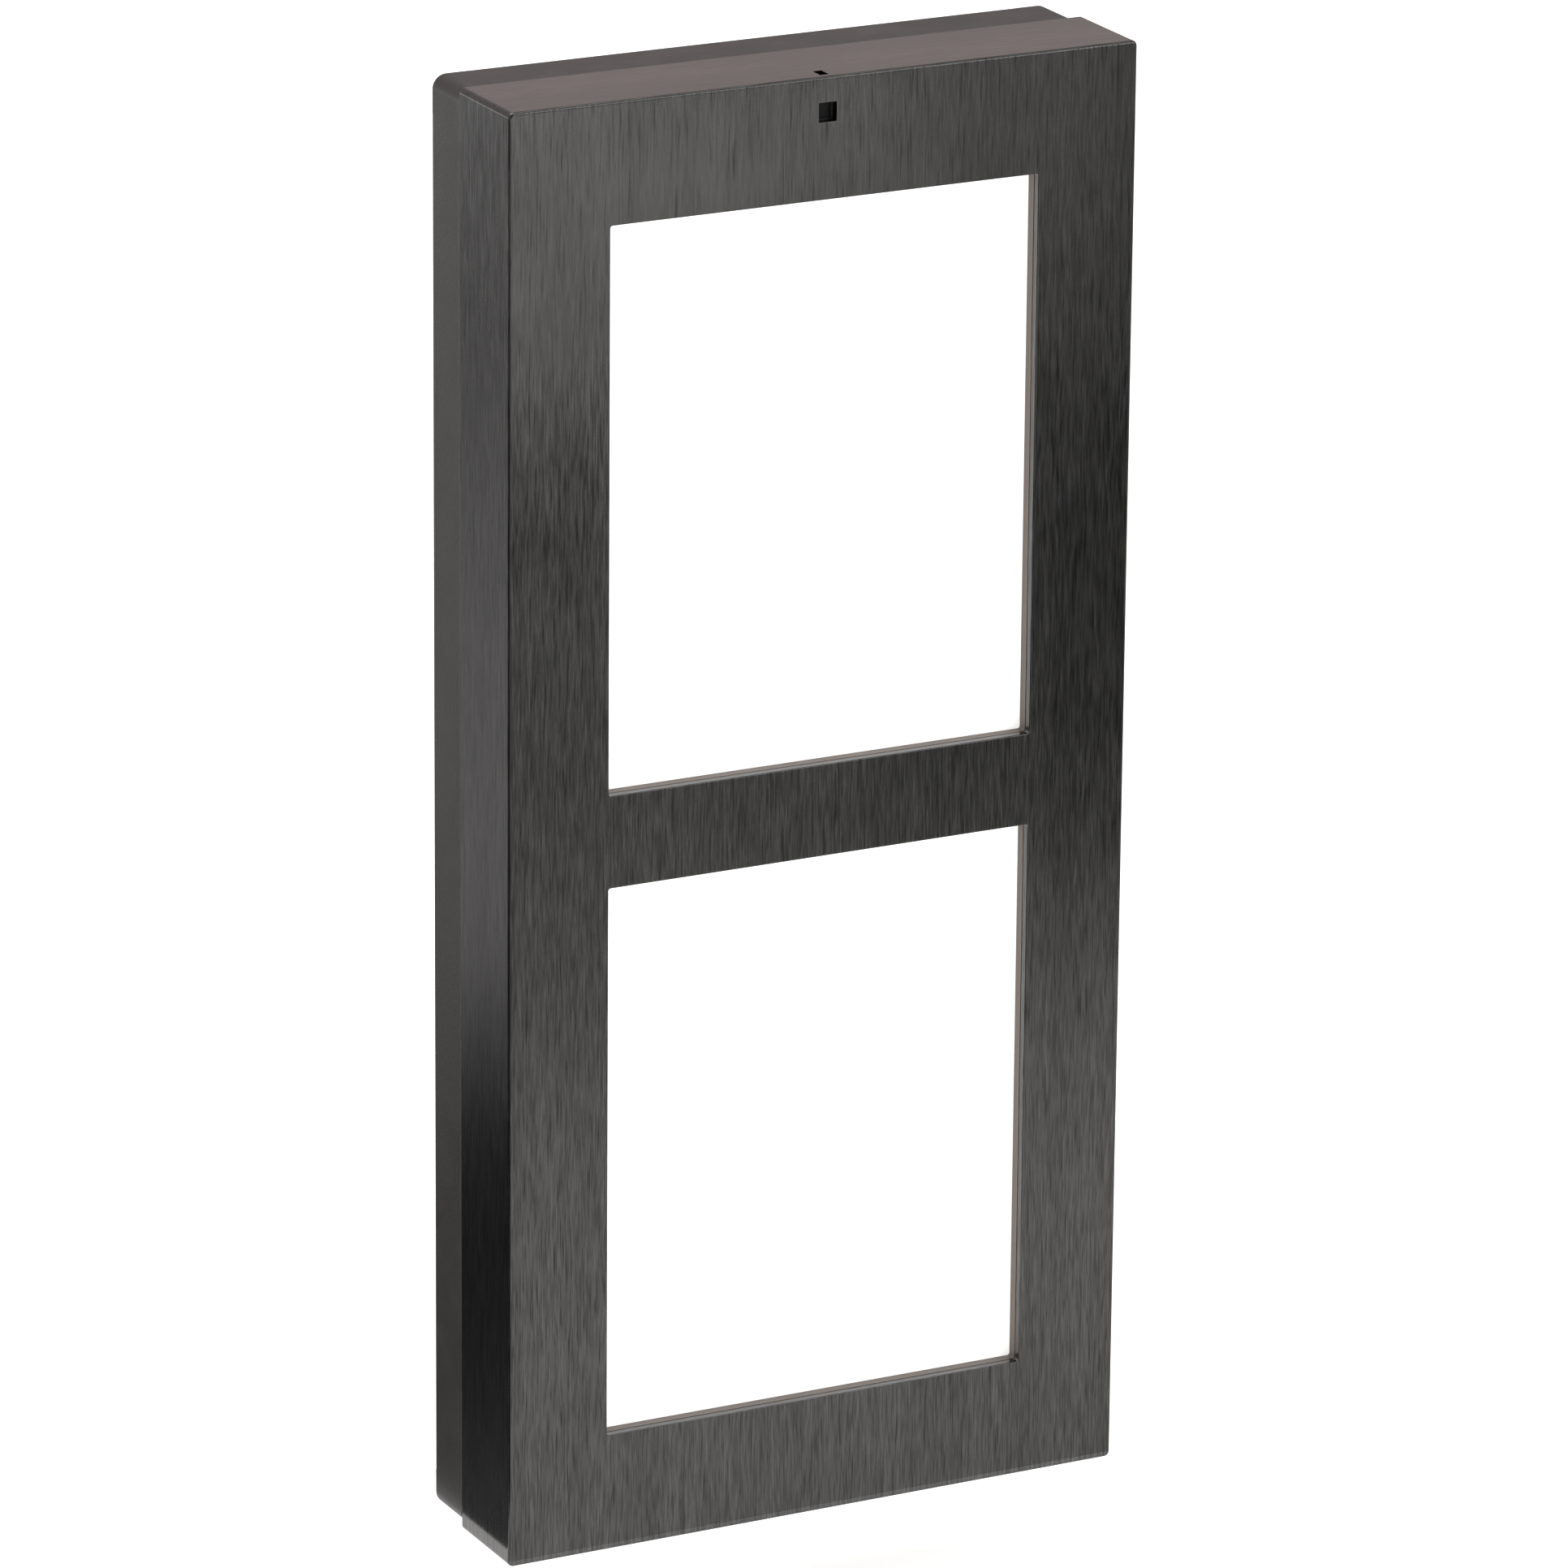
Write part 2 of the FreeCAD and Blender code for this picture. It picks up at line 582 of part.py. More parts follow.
def driver_chips():
    y = (DRIVER["rear"], DRIVER["rear"] + 1.4)
    chips = []
    for x, z in ((-8, 128), (10, 128), (0, 142)):
        chip = block((x - 3.2, x + 3.2), y, (z - 3.2, z + 3.2))
        rear = [e for e in chip.Edges if all(v.Y > y[1] - 0.1 for v in e.Vertexes)]
        chips.append(chip.makeChamfer(0.3, rear))
    return group(chips)


def board_connectors():
    """Plug headers: supply and lower field at the board's foot, upper field and sensor at its top."""
    y = (DRIVER["rear"], DRIVER["rear"] + 4.2)
    low = (DRIVER["bottom"] + 0.5, DRIVER["bottom"] + 6.5)
    high = (DRIVER["top"] - 6.5, DRIVER["top"] - 0.5)
    outer = LEAD_X - 3, LEAD_X + 3
    return group([block((-8, 8), y, low), block(outer, y, low),
                  block((-outer[1], -outer[0]), y, high), block((-6, 0), y, high)])


def terminal_block():
    body = block((-14, 14), (4.8, FLOOR), TERMINAL_Z)
    body = body.makeFillet(0.4, [e for e in body.Edges if all(v.Y < 5 for v in e.Vertexes)])
    middle = sum(TERMINAL_Z) / 2
    for x in TERMINAL_X:
        body = body.cut(rod(1.9, (x, 3, middle), (0, 1, 0), 4.2))
        for z, length in ((TERMINAL_Z[0] - 1, 4), (TERMINAL_Z[1] - 3, 4)):
            body = body.cut(rod(1.3, (x, 9, z), (0, 0, 1), length))
    return body


def terminal_screws():
    middle = sum(TERMINAL_Z) / 2
    return group([screw(1.8, 1.0, 1.0, 1.1, (x, 6.1, middle)) for x in TERMINAL_X])


def cable_grommet():
    """A rubber ring in the back wall's cable hole."""
    collar = rod(GROMMET_R + 2.0, (0, FLOOR - 1.2, ENTRY_Z), (0, 1, 0), 1.2)
    body = rod(GROMMET_R, (0, FLOOR, ENTRY_Z), (0, 1, 0), SHELL_BACK)
    return collar.fuse(body).cut(rod(CABLE_R, (0, FLOOR - 3, ENTRY_Z), (0, 1, 0), 8)).removeSplitter()


def cable_clamp():
    """A saddle strap over the incoming cable's path."""
    bore, axis_y = 5.0, FLOOR - 1.2
    z = (CLAMP_Z - CLAMP_W / 2, CLAMP_Z + CLAMP_W / 2)
    strap = block((-CLAMP_HALF, CLAMP_HALF), (CLAMP_SEAT - CLAMP_T, CLAMP_SEAT), z)
    arch = rod(bore + 1.4, (0, axis_y, z[0]), (0, 0, 1), CLAMP_W)
    arch = arch.common(block((-CLAMP_ARCH, CLAMP_ARCH), (0, CLAMP_SEAT), z))
    tunnel = rod(bore, (0, axis_y, z[0] - 1), (0, 0, 1), CLAMP_W + 2)
    strap = join([strap, arch]).cut(tunnel)
    for x in (-CLAMP_SCREW_X, CLAMP_SCREW_X):
        strap = strap.cut(rod(1.15, (x, CLAMP_SEAT - 3, CLAMP_Z), (0, 1, 0), 5))
    return strap


def clamp_screws():
    seat = CLAMP_SEAT - CLAMP_T
    return group([screw(1.9, 1.2, PILOT_R, 4.2, (x, seat, CLAMP_Z)) for x in (-CLAMP_SCREW_X, CLAMP_SCREW_X)])


def supply_leads():
    """The two short supply wires from the terminals to the driver board."""
    bottom, top = TERMINAL_Z[1] - 3, DRIVER["bottom"] + 0.5
    return group([lead([(x, 9, bottom), (x, 9, 71), (x * 1.6, 9, 75), (x * 1.6, 9, top)], 2.5, 0.7)
                  for x in (-3.4, 3.4)])


def led_lead(side, start_z, end_z):
    """The wire pair from the driver board to one module's board."""
    x = side * LEAD_X
    return lead([(x, 9, start_z), (x, 9, end_z), (x, BOARD_REAR, end_z)], 4.5, 1.0)


def sensor_lead():
    drop_y, run_z, rear_y = -5.0, 219.0, 9.0
    return lead([(-3, -8.2, 224.5), (-3, drop_y, 224.5), (-3, drop_y, run_z), (-3, rear_y, run_z),
                 (-3, rear_y, DRIVER["top"] - 0.5)], 2.0, 0.5)


PARTS = {
    "front_hood": front_hood,
    "keeper_clip": keeper_clip,
    "latch_slider": latch_slider,
    "latch_spring": latch_spring,
    "latch_bracket": latch_bracket,
    "latch_screws": latch_screws,
    "light_guide": light_guide,
    "sensor_board": sensor_board,
    "light_sensor": light_sensor,
    "rear_shell": rear_shell,
    "hood_seal": hood_seal,
    "wall_gasket": wall_gasket,
    "hinge_pins": hinge_pins,
    "upper_bezel": lambda: bezel(UPPER),
    "lower_bezel": lambda: bezel(LOWER),
    "upper_opal_panel": lambda: opal_panel(UPPER),
    "lower_opal_panel": lambda: opal_panel(LOWER),
    "upper_panel_gasket": lambda: panel_gasket(UPPER),
    "lower_panel_gasket": lambda: panel_gasket(LOWER),
    "upper_light_box": lambda: light_box(UPPER, -LEAD_X, UPPER_LEAD_Z),
    "lower_light_box": lambda: light_box(LOWER, LEAD_X, LOWER_LEAD_Z),
    "upper_led_board": lambda: led_board(UPPER),
    "lower_led_board": lambda: led_board(LOWER),
    "upper_leds": lambda: leds(UPPER),
    "lower_leds": lambda: leds(LOWER),
    "module_screws": module_screws,
    "module_inserts": module_inserts,
    "driver_board": driver_board,
    "board_screws": board_screws,
    "driver_capacitors": driver_capacitors,
    "driver_inductor": driver_inductor,
    "driver_chips": driver_chips,
    "board_connectors": board_connectors,
    "terminal_block": terminal_block,
    "terminal_screws": terminal_screws,
    "cable_grommet": cable_grommet,
    "cable_clamp": cable_clamp,
    "clamp_screws": clamp_screws,
    "supply_leads": supply_leads,
    "upper_led_lead": lambda: led_lead(-1, DRIVER["top"] - 0.5, UPPER_LEAD_Z),
    "lower_led_lead": lambda: led_lead(1, DRIVER["bottom"] + 0.5, LOWER_LEAD_Z),
    "sensor_lead": sensor_lead,
}

os.makedirs("parts", exist_ok=True)
for name, make in PARTS.items():
    shape = make()
    if not shape.isValid():
        print("invalid:", name)
    shape.exportStep(f"parts/{name}.step")
    print(f"{name}: {len(shape.Solids)} solid(s), {shape.Volume:.1f} mm3")
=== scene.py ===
"""Looks of the wall-mounted pedestrian light: finishes, finer leads and spring, studio and camera.

Every length is in metres in the row frame: X to the right, Y from the lit front to the wall, Z up.
"""
import logging
import math
from abc import ABC, abstractmethod
from dataclasses import dataclass
from enum import Enum
from typing import Any, ClassVar

import bmesh
import bpy
from mathutils import Matrix, Vector


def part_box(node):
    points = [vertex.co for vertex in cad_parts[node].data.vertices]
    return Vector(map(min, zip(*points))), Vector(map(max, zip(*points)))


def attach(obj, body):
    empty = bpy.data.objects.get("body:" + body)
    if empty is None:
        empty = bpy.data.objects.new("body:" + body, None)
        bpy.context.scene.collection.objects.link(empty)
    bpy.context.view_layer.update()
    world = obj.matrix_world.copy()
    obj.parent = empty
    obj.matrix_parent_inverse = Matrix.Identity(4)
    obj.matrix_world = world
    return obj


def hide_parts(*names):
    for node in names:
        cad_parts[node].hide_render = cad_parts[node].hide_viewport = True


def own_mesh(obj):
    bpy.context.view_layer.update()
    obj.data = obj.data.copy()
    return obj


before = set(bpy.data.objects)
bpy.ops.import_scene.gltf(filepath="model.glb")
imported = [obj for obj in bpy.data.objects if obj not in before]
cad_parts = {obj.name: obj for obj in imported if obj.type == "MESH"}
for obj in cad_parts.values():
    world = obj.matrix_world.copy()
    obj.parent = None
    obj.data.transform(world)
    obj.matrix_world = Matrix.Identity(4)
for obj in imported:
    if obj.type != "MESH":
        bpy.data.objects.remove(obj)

LOG = logging.getLogger("pedestrian_light")
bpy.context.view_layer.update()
Colour = tuple[float, float, float]
Place = tuple[float, float, float]
Stops = list[tuple[float, float]]
NOISE_SPAN = (0.3, 0.7)
BLACK, WHITE = (0.0, 0.0, 0.0), (1.0, 1.0, 1.0)


# ---------------------------------------------------------------- node helpers
class Graph:
    """A thin wrapper that adds and links nodes in one node tree."""

    def __init__(self, tree: bpy.types.NodeTree) -> None:
        """Keep the tree to work on."""
        self.tree = tree

    def add(self, kind: str, inputs: dict[Any, Any] | None = None,
            **settings: Any) -> bpy.types.Node:
        """Add a node.

        Args:
            kind: Blender's type name of the node.
            inputs: Input names or indices, each with a value or a socket to link.
            settings: Attributes of the node itself.

        Returns:
            The new node.
        """
        node = self.tree.nodes.new(kind)
        for name, value in settings.items():
            setattr(node, name, value)
        for name, value in (inputs or {}).items():
            self.feed(node.inputs[name], value)
        return node

    def feed(self, socket: bpy.types.NodeSocket, value: Any) -> None:
        """Link a socket to another one, or set its value."""
        if isinstance(value, bpy.types.NodeSocket):
            self.tree.links.new(value, socket)
        else:
            socket.default_value = value

    def math(self, operation: str, first: Any, second: Any = 0.0) -> bpy.types.NodeSocket:
        """Return the result of one arithmetic step."""
        node = self.add("ShaderNodeMath", {0: first, 1: second}, operation=operation)
        return node.outputs[0]

    def vector(self, operation: str, first: Any, second: Any) -> bpy.types.NodeSocket:
        """Return the result of one vector step."""
        node = self.add("ShaderNodeVectorMath", {0: first, 1: second}, operation=operation)
        return node.outputs["Vector"]

    def scaled(self, vector: Any, factor: Any) -> bpy.types.NodeSocket:
        """Return a vector times a factor."""
        node = self.add("ShaderNodeVectorMath", {0: vector, "Scale": factor}, operation="SCALE")
        return node.outputs["Vector"]

    def in_cells(self, position: Any, size: Any) -> bpy.types.NodeSocket:
        """Return a position counted in cells of a given size."""
        return self.scaled(position, self.math("DIVIDE", 1.0, size))

    def remap(self, value: Any, low: float, high: float, to_low: float, to_high: float,
              smooth: bool = False) -> bpy.types.NodeSocket:
        """Map a value from one range to another, clamped.

        Args:
            value: The socket or number to map.
            low: Where the source range starts.
            high: Where the source range ends.
            to_low: The result at low.
            to_high: The result at high.
            smooth: Ease in and out in place of a straight line.

        Returns:
            The mapped value.
        """
        kind = "SMOOTHSTEP" if smooth else "LINEAR"
        node = self.add("ShaderNodeMapRange", {"Value": value, "From Min": low, "From Max": high,
                                               "To Min": to_low, "To Max": to_high},
                        interpolation_type=kind)
        return node.outputs["Result"]

    def spread(self, noise: Any, to_low: float, to_high: float) -> bpy.types.NodeSocket:
        """Map the span that a noise value mostly keeps to onto another range."""
        return self.remap(noise, *NOISE_SPAN, to_low, to_high)

    def blend(self, factor: Any, first: Any, second: Any) -> bpy.types.NodeSocket:
        """Return two colours mixed by a factor."""
        node = self.add("ShaderNodeMix", {"Factor": factor, 6: first, 7: second}, data_type="RGBA")
        return node.outputs[2]

    def noise(self, position: Any, scale: float, detail: float = 2.0,
              roughness: float = 0.5) -> bpy.types.NodeSocket:
        """Return a noise value of a given scale, in cells per unit of position."""
        node = self.add("ShaderNodeTexNoise", {"Vector": position, "Scale": scale, "Detail": detail,
                                               "Roughness": roughness})
        return node.outputs["Fac"]


def rgba(colour: Colour, factor: float = 1.0) -> tuple[float, float, float, float]:
    """Return a colour times a factor, with a full alpha."""
    red, green, blue = (factor * part for part in colour)
    return red, green, blue, 1.0


def new_group(name: str, inputs: dict[str, tuple[str, Any]], outputs: dict[str, str]) -> tuple[
        bpy.types.NodeTree, Graph, dict[str, bpy.types.NodeSocket], bpy.types.Node]:
    """Start a shader node group with named sockets.

    Args:
        name: The group's name.
        inputs: Each input's name with its socket type and default value.
        outputs: Each output's name with its socket type.

    Returns:
        The group, its graph, its inputs by name and its output node.
    """
    group = bpy.data.node_groups.new(name, "ShaderNodeTree")
    for socket_name, (kind, value) in inputs.items():
        socket = group.interface.new_socket(socket_name, in_out="INPUT", socket_type=kind)
        if value is not None:
            socket.default_value = value
    for socket_name, kind in outputs.items():
        group.interface.new_socket(socket_name, in_out="OUTPUT", socket_type=kind)
    graph = Graph(group)
    entry = graph.add("NodeGroupInput")
    leave = graph.add("NodeGroupOutput")
    return group, graph, {name: entry.outputs[name] for name in inputs}, leave


FLOAT, VECTOR = "NodeSocketFloat", "NodeSocketVector"


class Effects:
    """The shader node groups that the finishes share, each built once."""

    def __init__(self) -> None:
        """Build every group."""
        self.grain = self._grain()
        self.mould = self._mould()
        self.wear_and_sheen = self._wear_and_sheen()
        self.dust = self._dust()
        self.smudge = self._smudge()

    @staticmethod
    def _grain() -> bpy.types.NodeTree:
        """Brushing lines: up and down the upright faces, and along X on level ones."""
        group, g, given, out = new_group(
            "brushed_grain",
            {"Position": (VECTOR, None), "Normal": (VECTOR, None), "Line Width": (FLOAT, 0.0002),
             "Line Length": (FLOAT, 0.004), "Band Width": (FLOAT, 0.005)},
            {"Line": FLOAT, "Band": FLOAT, "Streak": FLOAT, "Height": FLOAT})
        up = g.add("ShaderNodeSeparateXYZ", {0: given["Normal"]}).outputs["Z"]
        level = g.math("GREATER_THAN", g.math("ABSOLUTE", up), 0.72)
        across = g.math("DIVIDE", 1.0, given["Line Width"])
        along = g.math("DIVIDE", 1.0, given["Line Length"])
        upright = g.add("ShaderNodeCombineXYZ", {0: across, 1: across, 2: along}).outputs[0]
        flat = g.add("ShaderNodeCombineXYZ", {0: along, 1: across, 2: across}).outputs[0]
        stretch = g.add("ShaderNodeMix", {"Factor": level, 4: upright, 5: flat},
                        data_type="VECTOR").outputs[1]
        placed = g.vector("MULTIPLY", given["Position"], stretch)
        fine = g.noise(placed, 1.0, 2.0, 0.6)
        coarse = g.noise(placed, 0.45, 1.0, 0.5)
        line = g.math("ADD", g.math("MULTIPLY", fine, 0.7), g.math("MULTIPLY", coarse, 0.3))
        streak = g.remap(g.noise(placed, 0.62, 1.0, 0.4), 0.60, 0.74, 0.0, 1.0)
        ratio = g.math("DIVIDE", given["Line Width"], given["Band Width"])
        band = g.noise(g.scaled(placed, ratio), 1.0, 2.0, 0.5)
        g.feed(out.inputs["Line"], line)
        g.feed(out.inputs["Band"], band)
        g.feed(out.inputs["Streak"], streak)
        g.feed(out.inputs["Height"], fine)
        return group

    @staticmethod
    def _mould() -> bpy.types.NodeTree:
        """The fine spark-eroded texture of a moulded case."""
        group, g, given, out = new_group(
            "mould_texture",
            {"Position": (VECTOR, None), "Cell": (FLOAT, 0.0005)},
            {"Height": FLOAT, "Tone": FLOAT})
        placed = g.in_cells(given["Position"], given["Cell"])
        pebble = g.add("ShaderNodeTexVoronoi", {"Vector": placed, "Scale": 1.0, "Randomness": 1.0})
        fine = g.noise(placed, 1.7, 3.0, 0.6)
        height = g.math("ADD", g.math("MULTIPLY", pebble.outputs["Distance"], 0.6),
                        g.math("MULTIPLY", fine, 0.4))
        g.feed(out.inputs["Height"], height)
        g.feed(out.inputs["Tone"], g.noise(placed, 0.06, 3.0, 0.55))
        return group

    @staticmethod
    def _wear_and_sheen() -> bpy.types.NodeTree:
        """A mask along sharp outer edges, broken up by noise: scuffed edges together with a painted
        sheen along them.
        """
        group, g, given, out = new_group(
            "edge_wear_and_sheen",
            {"Position": (VECTOR, None), "Width": (FLOAT, 0.0004), "Amount": (FLOAT, 0.5)},
            {"Mask": FLOAT})
        bevel = g.add("ShaderNodeBevel", {"Radius": given["Width"]}, samples=4)
        normal = g.add("ShaderNodeNewGeometry").outputs["Normal"]
        dot = g.add("ShaderNodeVectorMath", {0: bevel.outputs[0], 1: normal},
                    operation="DOT_PRODUCT")
        edge = g.remap(dot.outputs["Value"], 0.99, 0.86, 0.0, 1.0)
        broken = g.remap(g.noise(given["Position"], 900.0, 3.0, 0.6), 0.35, 0.65, 0.25, 1.0)
        # The mask marks scuffed edges and also paints a sheen along them.
        worn_and_sheen = g.math("MULTIPLY", edge, broken)
        g.feed(out.inputs["Mask"], g.math("MULTIPLY", worn_and_sheen, given["Amount"]))
        return group

    @staticmethod
    def _dust() -> bpy.types.NodeTree:
        """Sparse pale specks of lint, a few tenths of a millimetre across."""
        group, g, given, out = new_group(
            "dust_specks",
            {"Position": (VECTOR, None), "Spacing": (FLOAT, 0.008), "Size": (FLOAT, 0.0002),
             "Share": (FLOAT, 0.3)},
            {"Mask": FLOAT})
        placed = g.in_cells(given["Position"], given["Spacing"])
        jitter = g.add("ShaderNodeTexNoise", {"Vector": placed, "Scale": 9.0}).outputs["Color"]
        bent = g.vector("ADD", placed, jitter)
        cells = g.add("ShaderNodeTexVoronoi", {"Vector": bent, "Scale": 1.0})
        reach = g.math("DIVIDE", given["Size"], given["Spacing"])
        speck = g.math("LESS_THAN", cells.outputs["Distance"], reach)
        luck = g.add("ShaderNodeSeparateColor", {0: cells.outputs["Color"]}).outputs[0]
        kept = g.math("LESS_THAN", luck, given["Share"])
        g.feed(out.inputs["Mask"], g.math("MULTIPLY", speck, kept))
        return group

    @staticmethod
    def _smudge() -> bpy.types.NodeTree:
        """Soft patches left by handling, as a value about one half."""
        group, g, given, out = new_group(
            "handling_smudge",
            {"Position": (VECTOR, None), "Patch": (FLOAT, 0.03)},
            {"Value": FLOAT})
        placed = g.in_cells(given["Position"], given["Patch"])
        g.feed(out.inputs["Value"], g.noise(placed, 1.0, 4.0, 0.55))
        return group


EFFECTS = Effects()


class Surface(Graph):
    """A material's graph with its Principled shader, coordinates and shared effects."""

    def __init__(self, name: str, **fixed: Any) -> None:
        """Start a material.

        Args:
            name: The material's name.
            fixed: Constant shader sockets, with underscores for spaces.
        """
        self.material = bpy.data.materials.new(name)
        self.material.use_nodes = True
        super().__init__(self.material.node_tree)
        self.shader = self.tree.nodes["Principled BSDF"]
        for socket, value in fixed.items():
            self.shader.inputs[socket.replace("_", " ")].default_value = value
        where = self.add("ShaderNodeTexCoord")
        self.position = where.outputs["Object"]
        self.normal = where.outputs["Normal"]

    def effect(self, group: bpy.types.NodeTree, **values: float) -> bpy.types.Node:
        """Place a shared group.

        Args:
            group: The node group.
            values: Its inputs, with underscores for spaces.

        Returns:
            The group node, with its position and normal fed.
        """
        node = self.add("ShaderNodeGroup", node_tree=group)
        if "Position" in node.inputs:
            self.feed(node.inputs["Position"], self.position)
        if "Normal" in node.inputs:
            self.feed(node.inputs["Normal"], self.normal)
        for name, value in values.items():
            self.feed(node.inputs[name.replace("_", " ")], value)
        return node

    def paint(self, colour: Any) -> None:
        """Feed the base colour."""
        self.feed(self.shader.inputs["Base Color"], colour)

    def roughen(self, value: Any) -> None:
        """Feed the roughness."""
        self.feed(self.shader.inputs["Roughness"], value)

    def bump(self, height: Any, depth: float, strength: float) -> None:
        """Feed the normal from a height.

        Args:
            height: The height value, from 0 to 1.
            depth: How deep the relief is, in metres.
            strength: The bump's strength.
        """
        node = self.add("ShaderNodeBump", {"Height": height, "Distance": depth,
                                           "Strength": strength})
        self.feed(self.shader.inputs["Normal"], node.outputs["Normal"])


# ---------------------------------------------------------------- finishes
class Finish(ABC):
    """A finish that makes its material once."""

    name: str
    made: ClassVar[dict[str, bpy.types.Material]] = {}

    @abstractmethod
    def build(self) -> bpy.types.Material:
        """Make the material."""

    def material(self) -> bpy.types.Material:
        """Return the finish's material, made the first time."""
        if self.name not in self.made:
            self.made[self.name] = self.build()
        return self.made[self.name]


@dataclass(frozen=True)
class BrushedSteel(Finish):
    """Stainless sheet brushed in one direction."""

    name: str
    tone: Colour
    line_width: float = 0.00019
    line_length: float = 0.0042
    contrast: float = 0.44
    band_contrast: float = 0.07
    streak_depth: float = 0.38
    roughness: float = 0.165
    anisotropy: float = 0.72
    # Pale edge colour: rubbed metal and a painted highlight along the edges.
    worn_edge_and_sheen_tone: Colour = (0.30, 0.295, 0.29)
    wear_and_sheen_amount: float = 0.14

    def build(self) -> bpy.types.Material:
        """Make the material."""
        s = Surface(self.name, Metallic=1.0, Anisotropic=self.anisotropy, Anisotropic_Rotation=0.25)
        grain = s.effect(EFFECTS.grain, Line_Width=self.line_width, Line_Length=self.line_length,
                         Band_Width=0.006)
        smudge = s.effect(EFFECTS.smudge, Patch=0.035)
        # Edge mask: real scuffs, and a painted sheen that brightens the edges.
        wear_and_sheen = s.effect(EFFECTS.wear_and_sheen, Width=0.00035, Amount=self.wear_and_sheen_amount)
        line = s.remap(grain.outputs["Line"], 0.32, 0.68, 1 - self.contrast, 1 + self.contrast)
        band = s.spread(grain.outputs["Band"], 1 - self.band_contrast, 1 + self.band_contrast)
        streak = s.remap(grain.outputs["Streak"], 0.0, 1.0, 1.0, 1 - self.streak_depth)
        level = s.math("MULTIPLY", s.math("MULTIPLY", line, band), streak)
        toned = s.blend(s.math("MULTIPLY", level, 0.5), rgba(BLACK), rgba(self.tone, 2.0))
        # Painted sheen: the edges are paled towards the edge colour, beside the rubbed metal.
        s.paint(s.blend(wear_and_sheen.outputs["Mask"], toned, rgba(self.worn_edge_and_sheen_tone)))
        lined = s.spread(grain.outputs["Line"], -0.05, 0.05)
        handled = s.spread(smudge.outputs["Value"], self.roughness - 0.03, self.roughness + 0.03)
        s.roughen(s.math("ADD", lined, handled))
        s.bump(grain.outputs["Height"], 0.000005, 0.9)
        return s.material


@dataclass(frozen=True)
class Moulded(Finish):
    """A moulded plastic with a fine mould texture."""

    name: str
    tone: Colour
    cell: float = 0.00045
    depth: float = 0.00004
    roughness: float = 0.55
    gloss: float = 0.5
    dust: float = 0.0
    # Pale edge colour: scuffed plastic and a painted sheen along the edges.
    worn_edge_and_sheen_tone: Colour = (0.3, 0.29, 0.28)
    dust_tone: Colour = (0.55, 0.53, 0.5)

    def build(self) -> bpy.types.Material:
        """Make the material."""
        s = Surface(self.name, Specular_IOR_Level=self.gloss)
        mould = s.effect(EFFECTS.mould, Cell=self.cell)
        # Edge mask: real scuffs, and a painted sheen along the edges.
        wear_and_sheen = s.effect(EFFECTS.wear_and_sheen, Width=0.0003, Amount=0.25)
        varied = s.blend(s.spread(mould.outputs["Tone"], 0.0, 1.0), rgba(self.tone, 0.88),
                         rgba(self.tone, 1.12))
        # Painted sheen and scuffs: the edges are paled towards the edge colour.
        with_edge_sheen = s.blend(wear_and_sheen.outputs["Mask"], varied, rgba(self.worn_edge_and_sheen_tone))
        if self.dust:
            specks = s.effect(EFFECTS.dust, Spacing=0.009, Size=0.00055, Share=self.dust)
            with_edge_sheen = s.blend(s.math("MULTIPLY", specks.outputs["Mask"], 0.55), with_edge_sheen,
                            rgba(self.dust_tone))
        s.paint(with_edge_sheen)
        s.roughen(s.spread(mould.outputs["Tone"], self.roughness - 0.06, self.roughness + 0.06))
        s.bump(mould.outputs["Height"], self.depth, 0.8)
        return s.material


@dataclass(frozen=True)
class Rubber(Finish):
    """Dull rubber or closed-cell foam."""

    name: str
    tone: Colour
    cell: float = 0.0004
    depth: float = 0.00005

    def build(self) -> bpy.types.Material:
        """Make the material."""
        s = Surface(self.name)
        mould = s.effect(EFFECTS.mould, Cell=self.cell)
        bloom = s.effect(EFFECTS.smudge, Patch=0.012)
        bloomed = tuple(min(1.0, 2.2 * part + 0.01) for part in self.tone)
        s.paint(s.blend(s.remap(bloom.outputs["Value"], 0.4, 0.75, 0.0, 0.5), rgba(self.tone),
                        rgba(bloomed)))
        s.roughen(s.spread(mould.outputs["Tone"], 0.72, 0.9))
        s.bump(mould.outputs["Height"], self.depth, 0.7)
        return s.material


@dataclass(frozen=True)
class PlainSteel(Finish):
    """Bright or tempered steel of screws, pins, springs and clips."""

    name: str
    tone: Colour
    roughness: float = 0.28

    def build(self) -> bpy.types.Material:
        """Make the material."""
        s = Surface(self.name, Metallic=1.0)
        smudge = s.effect(EFFECTS.smudge, Patch=0.003)
        grain = s.effect(EFFECTS.grain, Line_Width=0.00012, Line_Length=0.002, Band_Width=0.001)
        value = s.spread(smudge.outputs["Value"], 0.0, 1.0)
        s.paint(s.blend(value, rgba(self.tone, 0.8), rgba(self.tone)))
        s.roughen(s.spread(grain.outputs["Line"], self.roughness - 0.08, self.roughness + 0.08))
        s.bump(grain.outputs["Height"], 0.000004, 0.6)
        return s.material


@dataclass(frozen=True)
class LitOpal(Finish):
    """An opal diffuser lit evenly from behind, a little weaker at its rim."""

    name: str
    half_width: float
    strength: float = 0.6

    def build(self) -> bpy.types.Material:
        """Make the material."""
        s = Surface(self.name, Emission_Strength=self.strength, IOR=1.49)
        x = s.add("ShaderNodeSeparateXYZ", {0: s.position}).outputs["X"]
        rim = s.remap(s.math("ABSOLUTE", x), self.half_width * 0.8, self.half_width * 1.05,
                      0.0, 1.0, smooth=True)
        cloud = s.effect(EFFECTS.smudge, Patch=0.02)
        glow = s.blend(rim, rgba(WHITE), rgba((0.97, 0.96, 0.94)))
        s.feed(s.shader.inputs["Emission Color"], glow)
        s.paint(s.blend(cloud.outputs["Value"], rgba((0.86, 0.86, 0.85)), rgba((0.92, 0.92, 0.91))))
        s.roughen(s.spread(cloud.outputs["Value"], 0.3, 0.42))
        return s.material


